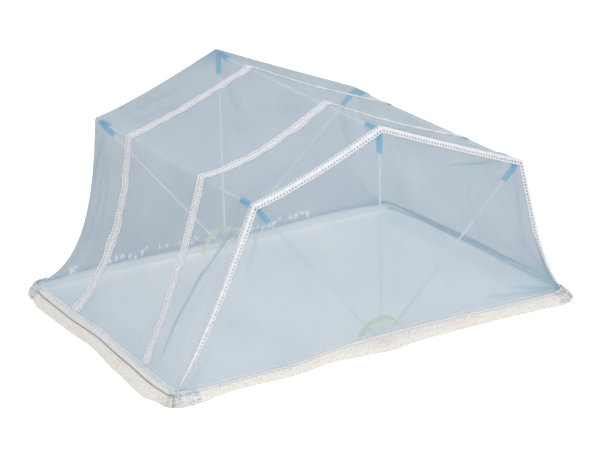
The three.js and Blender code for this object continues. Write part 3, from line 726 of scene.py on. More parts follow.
def woven_surface(add, colour, cover, normal, through, glow=0.0):
    """Cloth as threads and gaps: the threads pass some light on, the gaps let the view through.
    glow is painted light that the threads give off, though they are no lamp."""
    front = add("BsdfPrincipled", {
        "Base Color": colour, "Normal": normal, "Roughness": 0.85, "Specular IOR Level": 0.15,
        "Sheen Weight": 0.1, "Emission Color": (0.93, 0.97, 1, 1), "Emission Strength": glow})
    back = add("BsdfTranslucent", {"Color": colour, "Normal": normal})
    thread = add("MixShader", [through, front, back])
    add("OutputMaterial", [add("MixShader", [cover, add("BsdfTransparent"), thread])])


def knitted_polyester_net(colours, sizes):
    """Warp-knitted polyester net: fine blue-grey thread round holes of about a millimetre, so white
    shows through as a pale blue veil. It is denser where creased or drawn together, and there it
    is also painted a deeper blue as shade."""
    material, add = new_material("knitted_polyester_net")
    place = add("Attribute", output="Vector", attribute_name="weave")
    crease, gather = (add("Attribute", output="Fac", attribute_name=name)
                      for name in ("crease", "gather"))
    x, y = (add("SeparateXYZ", [place], output=axis) for axis in (0, 1))
    waves = []
    for slant in (0.6, -0.6):
        diagonal = add("Math", [y, slant, x], operation="MULTIPLY_ADD")
        turn = add("Math", [diagonal, 2 * math.pi / sizes.net_pitch], operation="MULTIPLY")
        waves.append(add("Math", [turn], operation="SINE"))
    crossing = add("Math", waves, operation="MULTIPLY")
    threads = add("MapRange", [crossing, -1, 1, -0.10, 0.10])
    patches = add("TexNoise", {"Vector": place, "Scale": 1 / (170 * MM)})
    cloud = add("MapRange", [patches, 0.3, 0.7, -0.05, 0.05])
    cover = add("Math", [crease, 0.22, sizes.net_cover], operation="MULTIPLY_ADD")
    cover = add("Math", [gather, 0.22, cover], operation="MULTIPLY_ADD")
    for pattern in (threads, cloud):
        cover = add("Math", [cover, pattern], operation="ADD")
    # Creases and gathers blend the thread towards net_shade: painted shade, on top of the denser
    # cover above
    depth = add("Math", [crease, 0.7], operation="MULTIPLY")
    depth = add("Math", [gather, 0.6, depth], operation="MULTIPLY_ADD")
    colour = layered(add, colours.net, [(depth, colours.net_shade)])
    bump = add("Bump", {"Strength": 0.15, "Distance": 0.3 * MM, "Height": threads})
    woven_surface(add, colour, cover, bump, 0.4)
    return material


def crochet_cotton(name, colour, shade, yarn=1.1, cover=1.0, glow=0.0):
    """Crocheted cotton gimp: matt white yarn whose loops shade each other, so it looks soft and
    slightly grey in its hollows."""
    material, add = new_material(name)
    place = add("Attribute", output="Vector", attribute_name="weave")
    strands = add("TexWave", {"Vector": place, "Scale": WAVE / (yarn * MM), "Distortion": 2.5,
                              "Detail Scale": 1.5}, output="Fac", bands_direction="DIAGONAL")
    spots = add("TexNoise", {"Vector": place, "Scale": 1 / (9 * MM), "Detail": 3})
    hollow = add("Math", [add("MapRange", [spots, 0.4, 0.7, 0.1, 0.8]),
                          add("MapRange", [strands, 0, 1, 0.9, 0.1])], operation="MULTIPLY")
    tone = layered(add, colour, [(hollow, shade)])
    bump = add("Bump", {"Strength": 0.6, "Distance": 0.4 * MM, "Height": strands})
    gaps = add("MapRange", [strands, 0.0, 0.5, cover - 0.2, cover])
    # A glow here is painted light on the yarn.
    woven_surface(add, tone, gaps, bump, 0.3, glow)
    return material


def folded_net_hem():
    """The side panels' hem: the net folded on itself, so denser, with rows of stitches. It is paler,
    partly from the fold and partly as painted light, and glows a little with painted light where the
    net's layers shade it.
    """
    material, add = new_material("folded_net_hem")
    place = add("Attribute", output="Vector", attribute_name="weave")
    waves = []
    for axis, spacing in ((0, 3.4 * MM), (1, 2.4 * MM)):
        along = add("SeparateXYZ", [place], output=axis)
        turn = add("Math", [along, 2 * math.pi / spacing], operation="MULTIPLY")
        waves.append(add("Math", [turn], operation="SINE"))
    line = add("Math", [add("MapRange", [waves[0], 0.3, 1, 0, 1]),
                        add("MapRange", [waves[1], -1, 1, 0.5, 1])], operation="MULTIPLY")
    tone = layered(add, hex_colour("dadfe9"), [(line, hex_colour("f8f8fd"))])
    bump = add("Bump", {"Strength": 0.3, "Distance": 0.3 * MM, "Height": line})
    # The 0.08 glow is painted light.
    woven_surface(add, tone, add("MapRange", [line, 0, 1, 0.22, 0.66]), bump, 0.4, 0.08)
    return material


def brushed_cotton_wadding(colours):
    """Brushed cotton over a thin wadding: warm off-white, matt, with knots of loose fibre that
    catch the light and a faint crosswise rib. Its trim is a hatched cotton lace. Its groove and
    its ends are painted darker, as shade in the groove and at the corners."""
    material, add = new_material("brushed_cotton_wadding")
    place = add("Attribute", output="Vector", attribute_name="weave")
    trim, groove = (add("Attribute", output="Fac", attribute_name=name)
                    for name in ("trim", "groove"))
    knots, patches = (add("TexNoise", {"Vector": place, "Scale": 1 / (size * MM), "Detail": detail})
                      for size, detail in ((5, 4), (60, 2)))
    rib, hatch, scribble = (
        add("TexWave", {"Vector": place, "Scale": WAVE / (size * MM), "Distortion": distortion,
                        "Detail": detail, "Detail Scale": detail_scale},
            output="Fac", bands_direction=bands)
        for size, distortion, detail, detail_scale, bands in (
            (3.2, 3, 2, 1, "X"), (1.7, 1.5, 2, 1, "DIAGONAL"), (4.2, 9, 3, 2, "X")))
    lace = layered(add, hex_colour("e8e9ea"),
                   [(add("MapRange", [hatch, 0.1, 0.7, 0.9, 0]), hex_colour("bcbec0"))])
    speckle = add("MapRange", [knots, 0.4, 0.6, 0.55, 1])
    tone = layered(add, colours.band, [
        (add("MapRange", [patches, 0.5, 0.75, 0, 0.8]), hex_colour("dccfc6")),
        (add("MapRange", [knots, 0.52, 0.75, 0, 0.6]), hex_colour("b7b1aa")),
        (add("MapRange", [knots, 0.25, 0.45, 0.6, 0]), hex_colour("ebeae8")),
        (trim, lace),
        (add("MapRange", [scribble, 0.78, 0.97, 0, 0.5]), hex_colour("98928c")),
        # Painted shade in the groove and at the band's ends
        (add("Math", [groove, speckle], operation="MULTIPLY"), hex_colour("7f7973")),
    ])
    relief = add("Math", [rib, 0.5, knots], operation="MULTIPLY_ADD")
    bump = add("Bump", {"Strength": 0.7, "Distance": 0.9 * MM, "Height": relief})
    add("OutputMaterial", [add("BsdfPrincipled", {
        "Base Color": tone, "Normal": bump, "Roughness": 0.95, "Specular IOR Level": 0.1,
        "Sheen Weight": 0.3})])
    return material


def bleached_cotton_lining(name, colour, glow):
    """Cotton on the band's inner face that glows a little blue-white with painted light, most
    towards its top where the net's hem keeps the room's light off, so it hardly parts from the
    floor."""
    material, add = new_material(name)
    place = add("Attribute", output="Vector", attribute_name="weave")
    level = add("Attribute", output="Fac", attribute_name="level")
    slubs = add("TexNoise", {"Vector": place, "Scale": 1 / (7 * MM), "Detail": 3})
    tone = layered(add, colour, [(add("MapRange", [slubs, 0.4, 0.7, 0, 0.4]), hex_colour("e6ebee"))])
    add("OutputMaterial", [add("BsdfPrincipled", {
        "Base Color": tone, "Roughness": 0.95, "Specular IOR Level": 0.1,
        "Emission Color": (0.9, 0.96, 1, 1),
        "Emission Strength": add("MapRange", [level, 0, 1, 0.3 * glow, 2.6 * glow])})])
    return material


def pultruded_glass_fibre(colours):
    """Pultruded glass-fibre rod: milky white with faint lengthwise strands, and a glow of painted
    light so that it looks brighter than what is behind it."""
    material, add = new_material("pultruded_glass_fibre")
    place = add("TexCoord", output="Object")
    strands = add("TexNoise", {"Vector": place, "Scale": 1 / (1.5 * MM), "Detail": 3})
    tone = layered(add, colours.rod,
                   [(add("MapRange", [strands, 0.4, 0.7, 0, 0.6]), hex_colour("d5dde2"))])
    # The emission is painted light.
    add("OutputMaterial", [add("BsdfPrincipled", {
        "Base Color": tone, "Roughness": add("MapRange", [strands, 0, 1, 0.3, 0.45]), "IOR": 1.52,
        "Emission Color": (0.9, 0.97, 1, 1), "Emission Strength": 0.21})])
    return material


def extruded_soft_pvc(colours):
    """Extruded soft PVC tube: bright sky blue right through, smooth, with a wet-looking gloss and
    a slightly paler bloom where it is bent or cut."""
    material, add = new_material("extruded_soft_pvc")
    place = add("TexCoord", output="Object")
    stretch = add("Attribute", output="Fac", attribute_name="stretch")
    bloom, grain = (add("TexNoise", {"Vector": place, "Scale": 1 / (size * MM)})
                    for size in (14, 0.8))
    faded = add("Math", [stretch, 0.45, add("MapRange", [bloom, 0.45, 0.75, 0, 0.25])],
                operation="MULTIPLY_ADD")
    tone = layered(add, colours.sleeve, [(faded, hex_colour("7fd2f4"))])
    bump = add("Bump", {"Strength": 0.1, "Distance": 0.1 * MM, "Height": grain})
    add("OutputMaterial", [add("BsdfPrincipled", {
        "Base Color": tone, "Normal": bump, "Roughness": 0.28, "IOR": 1.53, "Coat Weight": 0.2})])
    return material


def moulded_polypropylene(colours):
    """Injection-moulded polypropylene: a thin milky web inside a thicker rim that has yellowed.
    It glows a little in its own colour all over, which is painted light."""
    material, add = new_material("moulded_polypropylene")
    place = add("TexCoord", output="Object")
    rim = add("Attribute", output="Fac", attribute_name="rim")
    mottle, grain = (add("TexNoise", {"Vector": place, "Scale": 1 / (size * MM), "Detail": detail})
                     for size, detail in ((12, 3), (0.9, 2)))
    yellowed = layered(add, colours.case_rim,
                       [(add("MapRange", [mottle, 0.4, 0.7, 0, 1]), hex_colour("e9e9bd"))])
    tone = layered(add, colours.case, [(rim, yellowed)])
    bump = add("Bump", {"Strength": 0.15, "Distance": 0.15 * MM, "Height": grain})
    # The emission in the plastic's own colour is painted light.
    add("OutputMaterial", [add("BsdfPrincipled", {
        "Base Color": tone, "Emission Color": tone, "Emission Strength": 0.16, "Normal": bump,
        "Alpha": add("MapRange", [rim, 0, 1, 0.08, 0.75]), "Roughness": 0.42, "IOR": 1.49})])
    return material


# Net pieces and lace tapes

def net_piece(node, sheet, material, cut, rests_on):
    """One sheet of net as a thin mesh with its weave, crease and gather values."""
    grid = sheet.grid
    piece = new_piece(node + "_knit", grid.reshape(-1, 3), grid_faces(*grid.shape[:2]), material,
                      "net", node)
    steps = [np.diff(grid, axis=0, prepend=grid[:1]), np.diff(grid, axis=1, prepend=grid[:, :1])]
    along, across = (np.cumsum(np.linalg.norm(step, axis=2), axis=axis)
                     for axis, step in enumerate(steps))
    flat = np.stack([along, across, np.zeros_like(along)], axis=2) * MM
    write_values(piece, weave=flat.reshape(-1, 3), crease=sheet.crease.ravel(),
                 gather=sheet.gather.ravel())
    cloth_area(grid)
    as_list(rests_on)


Tile = namedtuple("Tile", "across at relief faces index")

# Columns of a tile: its two edges, the middles of its two rows of holes, and its raised cord
EDGES = (0, 12)
EYES = (3, 9)
CORD = 6
EDGE_WIDE = 2.0
CORD_HALF = 1.4
EYE_RIM = 0.8
EYE_RISE = 0.15
SLANT = 0.72
SCALLOP = 1.5
BEAD = 0.35


def lace_tile(width, hole, pitch):
    """One repeat of the tape: scalloped edges, two rows of holes and a raised cord between."""
    half = width / 2
    middle = 0.5 * half
    reach = hole / 2 + EYE_RIM
    right = [0, CORD_HALF, middle - reach, middle, middle + reach, half - EDGE_WIDE, half]
    columns = [-across for across in right[:0:-1]] + right
    relief = [0.0, 0.1, 0.35, 0.3, 0.35, 0.1, 0.65, 0.1, 0.35, 0.3, 0.35, 0.1, 0.0]
    index, spots = {}, []

    def add(key, across, at, lift):
        index[key] = len(spots)
        spots.append((across, at, lift))

    for level in (0, 1):
        for k, across in enumerate(columns):
            if level == 1 and k in EYES:
                continue
            scallop = SCALLOP if level == 0 and k in EDGES else 0.0
            bead = BEAD if level == 1 and k in (*EDGES, CORD) else 0.0
            add((level, k), across - math.copysign(scallop, across), 0.5 * level, relief[k] + bead)
    faces = [((low, k), (low, k + 1), (low + 1, k + 1), (low + 1, k))
             for k in (0, 1, 4, 5, 6, 7, 10, 11) for low in (0, 1)]
    around = [(0, -1), (0, 0), (0, 1), (1, 1), (2, 1), (2, 0), (2, -1), (1, -1)]
    turns = [(-SLANT, -SLANT), (0, -1), (SLANT, -SLANT), (1, 0), (SLANT, SLANT), (0, 1),
             (-SLANT, SLANT), (-1, 0)]
    for eye in EYES:
        rim = [(level, eye + side) for level, side in around]
        for k, (s, v) in enumerate(turns):
            add(("hole", eye, k), columns[eye] + s * hole / 2, 0.5 + v * hole / 2 / pitch, EYE_RISE)
        for k in range(len(rim)):
            n = (k + 1) % len(rim)
            faces.append((rim[k], rim[n], ("hole", eye, n), ("hole", eye, k)))
    return Tile(*np.array(spots).T, faces, index)


def lace_strip(tile, repeats):
    """Repeats of a tile in a row: each point's place across, repeat and relief, and the faces."""
    count = len(tile.across)
    firsts = [key for key in tile.index if key[0] == 0]
    ends = [tile.index[key] for key in firsts]
    across, relief = (np.concatenate([np.tile(values, repeats), values[ends]])
                      for values in (tile.across, tile.relief))
    at = np.concatenate([*(tile.at + n for n in range(repeats)), np.full(len(ends), float(repeats))])
    last = {key: repeats * count + n for n, key in enumerate(firsts)}

    def where(key, n):
        if key[0] != 2:
            return n * count + tile.index[key]
        first = (0, key[1])
        return last[first] if n == repeats - 1 else (n + 1) * count + tile.index[first]

    faces = [tuple(where(key, n) for key in face) for n in range(repeats) for face in tile.faces]
    return across, at, relief, faces


def tape_parts(sheet, across, end, width, pitch, hole):
    """Length of a tape along the top sheet, and for each of its points the place across the tape,
    the distance and run along it and the relief, then its faces."""
    runs = np.linspace(TAPE_START, end, TAPE_ROWS)
    distance = lengths(sheet.at(runs, np.full(len(runs), across)))
    repeats = round(distance[-1] / pitch)
    s, at, relief, faces = lace_strip(lace_tile(width, hole, pitch), repeats)
    along = at * distance[-1] / repeats
    return distance[-1], s, along, np.interp(along, distance, runs), relief, faces


def tape_piece(node, points, faces, weave, material):
    """A tape's points as a thick piece of lace."""
    piece = new_piece(node + "_crochet", points, faces, material, "lace", node)
    write_values(piece, weave=np.stack(weave, axis=1) * MM)
    shell = piece.modifiers.new("Thickness", "SOLIDIFY")
    shell.thickness, shell.offset = TAPE_THICK * MM, 0.0


def lengthwise_tape(name, sheet, across, stray, sizes, material, seed):
    """Lace tape laid along the top sheet, with uneven edges as its threads pull."""
    length, s, along, run, relief, faces = tape_parts(
        sheet, across, TAPE_END, TAPE_WIDTH, sizes.lace_pitch / MM, sizes.lace_hole / MM)
    shift = stray * np.sin(run * 5.3) * np.sin(run * 1.7 + 1)
    pull = uneven(along, seed, *TAPE_PULL)
    widen = 1 + uneven(along, seed + 3, *TAPE_WIDEN)
    ripple = np.maximum(0, uneven(along + 11 * (s > 0), seed + 5, *TAPE_RIPPLE))
    ripple = ripple * np.abs(s) / (TAPE_WIDTH / 2)
    place = across + (shift + pull + s * widen) / NET_WIDTH
    points = sheet.at(run, place, TAPE_LIFT + relief + ripple)
    tape_piece(name, points, faces, (s, along, relief), material)


def seam_tape(sheet, sizes, material):
    """Lace tape folded over the near seam, part on the top sheet and part on the side panel."""
    width = SEAM_TOP + SEAM_TURN
    length, s, along, run, relief, faces = tape_parts(
        sheet, 0.0, 7 - TAPE_START, width, 1.12 * sizes.lace_pitch / MM, 1.05 * sizes.lace_hole / MM)
    widen = 1 + uneven(along, 9, *SEAM_WIDEN)
    inset = (s + (SEAM_TOP - SEAM_TURN) / 2) * widen
    lift = TAPE_LIFT + relief
    points = sheet.at(run, np.maximum(inset, 0) / NET_WIDTH, lift)
    down = np.minimum(inset, 0) * eased(np.minimum(along, length - along), -5, 60)
    turned = sheet.at(run, np.zeros(len(run)), down)
    turned[:, 1] -= NET + lift
    points = np.where((inset < 0)[:, None], turned, points)
    tape_piece("lace_tape_seam", points, faces, (s, along, relief), material)


# Hem lace, seen as fine ridges above the band

def hem_surface(sheet, runs=None):
    """Places on a sheet by place along its hem and height above it: up the given runs of an end
    face, or up the first rows of points of a side panel."""
    def place(spots, up, lift):
        found = []
        for spot, height in zip(spots, np.broadcast_to(up, len(spots))):
            if runs is None:
                line = sheet.at(np.full(12, spot), np.arange(12.0), lift)
                at = line[:, 2] - line[0, 2]
            else:
                line = sheet.at(runs, np.full(len(runs), spot), lift)
                at = lengths(line)
            found.append([np.interp(height, at, line[:, k]) for k in range(3)])
        return np.array(found)
    return place


def hem_strip(node, surface, spots, material, out):
    """A narrow ridged braid along a line of the cloth, with picots on its upper edge."""
    points, weave = [], []
    distance = lengths(surface(spots, 0.0, 0.0))
    for spot, along in zip(spots, distance):
        for j in range(LACE_CROSS):
            f = j / (LACE_CROSS - 1)
            dip = 1 - abs(math.sin(math.pi * along / LACE_PICOT_PITCH))
            picot = LACE_PICOT * dip if f == 1 else 0
            lift = out * (1 + 0.9 * abs(math.sin(3 * math.pi * f)) + 0.3 * wander(along, j, 5))
            points.append(surface([spot], f * LACE_WIDTH - picot, lift)[0])
            weave.append((f * LACE_WIDTH, along, 0))
    piece = new_piece(node + "_braid", points, grid_faces(len(spots), LACE_CROSS), material,
                      "lace", node)
    write_values(piece, weave=np.array(weave) * MM)


PETALS = 5
PETAL_STEPS = 6
FLOWER_SIZE = 9.0
FLOWER_HEIGHT = 15.0
FLOWER_SHARE = 0.8


def flower(centre, size, seed):
    """A five-petalled crochet motif, each petal a cupped leaf, flat against the far panel."""
    parts = []
    for petal in range(PETALS):
        turn = 2 * math.pi * petal / PETALS + seed * 0.7
        reach = size * (0.8 + 0.7 * wander(seed + petal * 2.1, 6, 1.0))
        points = []
        for f in np.linspace(0, 1, PETAL_STEPS + 1):
            half = 0.3 * reach * math.sin(math.pi * min(f * 0.9 + 0.08, 1)) ** 0.7
            for side in (-1, 0, 1):
                x = f * reach * math.cos(turn) - side * half * math.sin(turn)
                y = -1.0 * math.sin(math.pi * f) - 0.6 * abs(side)
                z = f * reach * math.sin(turn) + side * half * math.cos(turn)
                points.append(centre + np.array([x, y, z]))
        parts.append((np.array(points), grid_faces(PETAL_STEPS + 1, 3)))
    return joined(parts)


def far_flowers(surface, rows, material):
    """Small lace flowers along the far hem, uneven as the old trimming has come away in places."""
    parts = []
    distance = lengths(surface(rows, 0.0, 0.0))
    spot, seed = 20.0, 0
    while spot < FLOWER_SHARE * distance[-1]:
        seed += 1
        if wander(seed * 2.3, 7, 1.1) > -0.25:
            size = FLOWER_SIZE + 2.5 * wander(seed * 3.7, 2, 1.3)
            height = FLOWER_HEIGHT + 9 * wander(seed * 1.9, 4, 1.2)
            centre = surface([np.interp(spot, distance, rows)], height, -1.5)[0]
            parts.append(flower(centre, size, seed))
        spot += 13 + 7 * abs(wander(seed * 5.1, 5, 1.7))
    loose_piece("hem_lace_far_flowers", parts, material)


def loose_piece(name, parts, material):
    """Small lace parts as one piece, whose yarn follows their own places."""
    points, faces = joined(parts)
    write_values(new_piece(name, points, faces, material, "lace"), weave=points * MM)


# Base band

PUCKER_PITCH = 17.0
# Width of the groove's painted shade as a share of the face, and how dark the band's ends are
# painted as shade, over how many millimetres
GROOVE_WIDTH = 0.045
END_SHADE = (0.45, 13.0)
END_SHORT = 0.4
TUCK = (6.0, 0.5)


def band_section(height, flare, tuck, trim):
    """Outline of the band across its length as distance out and height, and each point's share
    of the face, from top to foot."""
    top = height - NET / 2 - GAP
    outer = np.array([
        [1.2, top], [BAND_THICK, top - 0.4], [0.62 * flare + BAND_THICK, 0.5 * top],
        [flare, 1.6], [flare - 1, 0.0],
    ])
    at = lengths(outer)
    shares = np.concatenate([np.linspace(0, trim, 14)[:-1], np.linspace(trim, 0.97, 13), [1.0]])
    face = np.stack([np.interp(shares * at[-1], at, outer[:, k]) for k in (0, 1)], axis=1)
    inside = flare - BAND_FOOT
    return face, shares, [(inside, 0.0), (0.5 * (inside - tuck), 0.5 * top), (-tuck, top)]


def band_swell(face, share, distance, seed):
    """How far the band's face stands off its plain section: cords, groove and puckered pad."""
    if share < face.trim:
        cord = face.ridge * abs(math.sin(math.pi * face.cords * share / face.trim)) ** 0.8
        return 0.4 + cord + 0.25 * wander(distance + 40 * share, seed, 2.6)
    f = (share - face.trim) / (1 - face.trim)
    soft = math.sin(math.pi * min(0.08 + f * 0.97, 1)) ** 0.7
    line = distance + 14 * (f - 0.5) * wander(distance, seed + 3, 90)
    phase = 2 * math.pi * line / PUCKER_PITCH + 2 * wander(distance, seed, 80)
    pucker = face.pucker * math.sin(phase)
    crumple = 0.7 * noise.noise(Vector((distance / 9, share * 6, seed)))
    return soft * (1.8 + pucker + crumple) - 1.4 * bell(f, 0.05)


def base_band(side, material, lining):
    """Padded band of one side: ridged trim, a stitched groove and a pad with puckers."""
    points = HEMS[side]
    distance = lengths(points[:, :2])
    kind = FACES[side]
    seed = list(SIDES).index(side) * 5 + 1
    rings, weave, trims, grooves, levels = [], [], [], [], []
    for k, (x, y, out_x, out_y, height, flare) in enumerate(points):
        from_end = min(distance[k], distance[-1] - distance[k])
        tuck = mix(*TUCK, eased(from_end, 20, 70))
        face, shares, inner = band_section(height, flare, tuck, kind.trim)
        ring = []
        for (out, up), share in zip(face, shares):
            away = band_swell(kind, share, distance[k], seed) * min(1, (1 - share) * 12)
            ring.append((out + away * 0.75, max(up + away * 0.65 * (up > 1), 0.0)))
        ring += inner

        # The ends stop a little short of the corners, so that the next side's band clears them
        short = {0: END_SHORT, len(points) - 1: -END_SHORT}.get(k, 0.0)
        rings += [(x + out_x * out - out_y * short, y + out_y * out + out_x * short, up)
                  for out, up in ring]
        weave += [(distance[k], reach, 0) for reach in lengths(np.array(ring))]
        trims += [float(share < kind.trim) for share in shares] + [0.0] * len(inner)
        # The band darkens towards its ends: painted shade at the corners, in the groove's colour
        gathered = END_SHADE[0] * bell(from_end, END_SHADE[1])
        grooves += [min(1, kind.groove * bell(share - kind.trim, GROOVE_WIDTH) + gathered)
                    for share in shares] + [0.0] * len(inner)
        levels += [up / height for _, up in ring]
    count = len(rings) // len(points)
    faces = grid_faces(len(points), count, closed=True)
    faces += [cap[::-1] for cap in end_caps(len(points), count)]
    piece = new_piece(f"base_band_{side}_padding", rings, faces, material, "base_band",
                      f"base_band_{side}")
    piece.data.materials.append(lining)
    for polygon in piece.data.polygons[:-2]:
        if polygon.index % count >= count - len(inner):
            polygon.material_index = 1
    write_values(piece, weave=np.array(weave) * MM, trim=trims, groove=grooves, level=levels)


def thread_loop(spot, size, seed, level):
    """One loop of thread that lies askew on the band's face and touches it on one side."""
    x, y, out_x, out_y, height, flare = spot
    face_out = mix(BAND_THICK, flare, level) + 2.2
    face_up = mix(height - NET / 2 - GAP + 1.0, 4.5, level)
    size = size * (1 + 0.3 * wander(seed * 1.3, 3, 1.0))
    slew = wander(seed * 2.1, 8, 1.0)
    turn = 1.6 * wander(seed * 0.9, 5, 1.0)
    loop = []
    for k in range(11):
        a = 2 * math.pi * k / 10
        wide, tall = 0.62 * size * math.sin(a), size * math.cos(a)
        along = wide * math.cos(turn) - tall * math.sin(turn) + 2.0 * slew
        rise = wide * math.sin(turn) + tall * math.cos(turn)
        out = face_out + 1.1 * (1 - math.cos(a + slew)) - 0.55 * rise
        loop.append((x + out_x * out - out_y * along, y + out_y * out + out_x * along,
                     max(face_up + 0.8 * rise, 1.2)))
    return tube(loop, 0.19 * size, sides=6)


def corner_loops(first, second, reach, material, rows, size):
    """Loops of thread over a corner of the hem, where the lace was gathered and sewn down."""
    line = np.concatenate([HEMS[first][-reach[0]:], HEMS[second][:reach[1]]])
    at = lengths(line[:, :2])
    parts = []
    seed = len(first) * 31
    for row in range(rows):
        level = 1.2 * (row + 0.4) / rows - 0.2
        along = 1.5 * row
        while along < at[-1]:
            seed += 1
            spot = [np.interp(along, at, line[:, k]) for k in range(6)]
            parts.append(thread_loop(spot, size, seed, level))
            along += size * (1.25 + 0.5 * wander(seed * 0.77, 9, 1.0))
    loose_piece(f"corner_loops_{first}_{second}", parts, material)


# Rods, sleeves and hinge cases

ROD_SIDES = 20
SLEEVE_SIDES = 24
SLEEVE_CRUMPLE = 9.0
CREASE_PITCH = 4.2
LIP_ROUND = 0.8
DISC_STEPS = 48
WEB_RECESS = 4.5
SPIGOT_START = 18.0
SPIGOT_SHORT = 5.0
SPIGOT_RADII = (4.2, 4.8)
RIVET_Z = 11.0
RIVET_RADII = (5.0, 6.4)


def bow_ends(bow):
    """Side, corner, pivot and directions down the leg and along the top rod, at each leg."""
    corners = [bow_corner(bow, 0.0), bow_corner(bow, 1.0)]
    found = []
    for side, corner, other in (("near", *corners), ("far", *corners[::-1])):
        pivot = np.array([PIVOT_X, corner[1], PIVOT_Z])
        down, inward = ((end - corner) / np.linalg.norm(end - corner) for end in (pivot, other))
        found.append((side, corner, pivot, down, inward))
    return found


def straight_rod(node, start, end, material):
    """A straight round rod between two points."""
    f = np.linspace(0, 1, 24)[:, None]
    new_piece(node + "_rod", *tube(mix(start, end, f), ROD_RADIUS, ROD_SIDES), material, "rod", node)


def elbow_sleeve(node, corner, down, inward, material):
    """A length of soft tube bent round the corner: flattened and creased inside its bend."""
    f = np.linspace(0, 1, 13)[:, None]
    straight = mix(SLEEVE_ARM, SLEEVE_BEND, np.linspace(0, 1, 12)[:-1, None])
    bend_start, bend_end = corner + down * SLEEVE_BEND, corner + inward * SLEEVE_BEND
    bend = bend_start * (1 - f) ** 2 + corner * 2 * f * (1 - f) + bend_end * f * f
    line = np.concatenate([corner + down * straight, bend, (corner + inward * straight)[::-1]])
    at = lengths(line)
    middle = at[-1] / 2
    crumple = bell(at - middle, SLEEVE_CRUMPLE)
    waves = 0.35 * crumple * np.cos((at - middle) * 2 * math.pi / CREASE_PITCH)
    lip = 0.7 * np.exp(-np.minimum(at, at[-1] - at) / LIP_ROUND)
    outer = SLEEVE_RADIUS - 0.5 * crumple + waves - lip
    skin, skin_faces = tube(line, outer, SLEEVE_SIDES, caps=False)
    bore, bore_faces = tube(line, SLEEVE_BORE, SLEEVE_SIDES, caps=False)
    points, faces = joined([(skin, skin_faces), (bore, [face[::-1] for face in bore_faces])])
    last, start = (len(line) - 1) * SLEEVE_SIDES, len(skin)
    for j in range(SLEEVE_SIDES):
        n = (j + 1) % SLEEVE_SIDES
        faces.append((j, n, start + n, start + j))
        faces.append((last + n, last + j, start + last + j, start + last + n))
    piece = new_piece(node + "_tube", points, faces, material, "sleeve", node)
    stretch = np.repeat(crumple, SLEEVE_SIDES)
    write_values(piece, stretch=np.concatenate([stretch, 0 * stretch]))


def half_ring(radius, inner, low, high):
    """Points and faces of a half ring standing on the floor about the pivot, from y low to high."""
    angles = np.linspace(0, math.pi, DISC_STEPS + 1)
    points = np.concatenate([
        np.stack([PIVOT_X + r * np.cos(angles), np.full(len(angles), y), r * np.sin(angles)], axis=1)
        for y in (low, high) for r in (radius, inner)])

    # The four arcs of points, in the order in which the faces go round the ring's section
    arcs = [k * len(angles) for k in (0, 1, 3, 2)]
    faces = []
    for a, b in zip(arcs, [*arcs[1:], arcs[0]]):
        faces += [(a + k, a + k + 1, b + k + 1, b + k) for k in range(DISC_STEPS)]
    faces.append(tuple(arcs))
    faces.append(tuple(arc + DISC_STEPS for arc in reversed(arcs)))
    return points, faces


def hinge_case(node, side, material):
    """Half-disc case: a thin web inside a thick rim, three rod spigots and a rivet. Each part has
    its share of the rim's look."""
    low = -CASE_OUTER_Y if side < 0 else CASE_OUTER_Y - CASE_THICK
    high = low + CASE_THICK
    inside = CASE_RADIUS - CASE_RIM
    parts = [(1.0, half_ring(CASE_RADIUS, inside, low, high)),
             (0.0, half_ring(inside + 0.2, 0.5, low + WEB_RECESS, high - WEB_RECESS))]
    base = np.array([PIVOT_X, side * LEG_Y, PIVOT_Z])
    for bow in BOWS:
        way = direction(math.radians(90 - (bow.lean_near if side < 0 else bow.lean_far)))
        ends = [base + way * reach for reach in (SPIGOT_START, CASE_RADIUS - SPIGOT_SHORT)]
        parts.append((0.25, tube(ends, SPIGOT_RADII)))
    heads = [(PIVOT_X, y, RIVET_Z) for y in (low + 2.0, low + 2.8, high - 2.8, high - 2.0)]
    parts.append((0.6, tube(heads, [*RIVET_RADII, *RIVET_RADII[::-1]], ROD_SIDES)))
    points, faces = joined([part for _, part in parts])
    piece = new_piece(node + "_shell", points, faces, material, "hinge_case", node, smooth=False)
    write_values(piece, rim=np.concatenate([np.full(len(part[0]), rim) for rim, part in parts]))
    bevel = piece.modifiers.new("Soft edges", "BEVEL")
    bevel.width, bevel.segments, bevel.limit_method = 0.8 * MM, 2, "ANGLE"


# Stage

CAMERA_TARGET = (0.0112, 0, 0.1685)
FLOOR_HALF = 14.0
FLOOR_Z = -0.0006


def make_camera(settings):
    """The camera, turned about its own axis by the roll."""
    az, el, roll = settings.azimuth, settings.elevation, settings.roll
    back = Vector((math.sin(az) * math.cos(el), -math.cos(az) * math.cos(el), math.sin(el)))
    level = Vector((math.cos(az), math.sin(az), 0))
    upright = back.cross(level)
    right = level * math.cos(roll) + upright * math.sin(roll)
    up = upright * math.cos(roll) - level * math.sin(roll)
    data = bpy.data.cameras.new("Camera")
    data.lens = settings.lens
    data.sensor_width = 36
    camera = bpy.data.objects.new("Camera", data)
    matrix = Matrix((right, up, back)).transposed().to_4x4()
    matrix.translation = Vector(CAMERA_TARGET) + Vector(SHIFT) + back * settings.distance
    camera.matrix_world = matrix
    bpy.context.scene.collection.objects.link(camera)
    bpy.context.scene.camera = camera


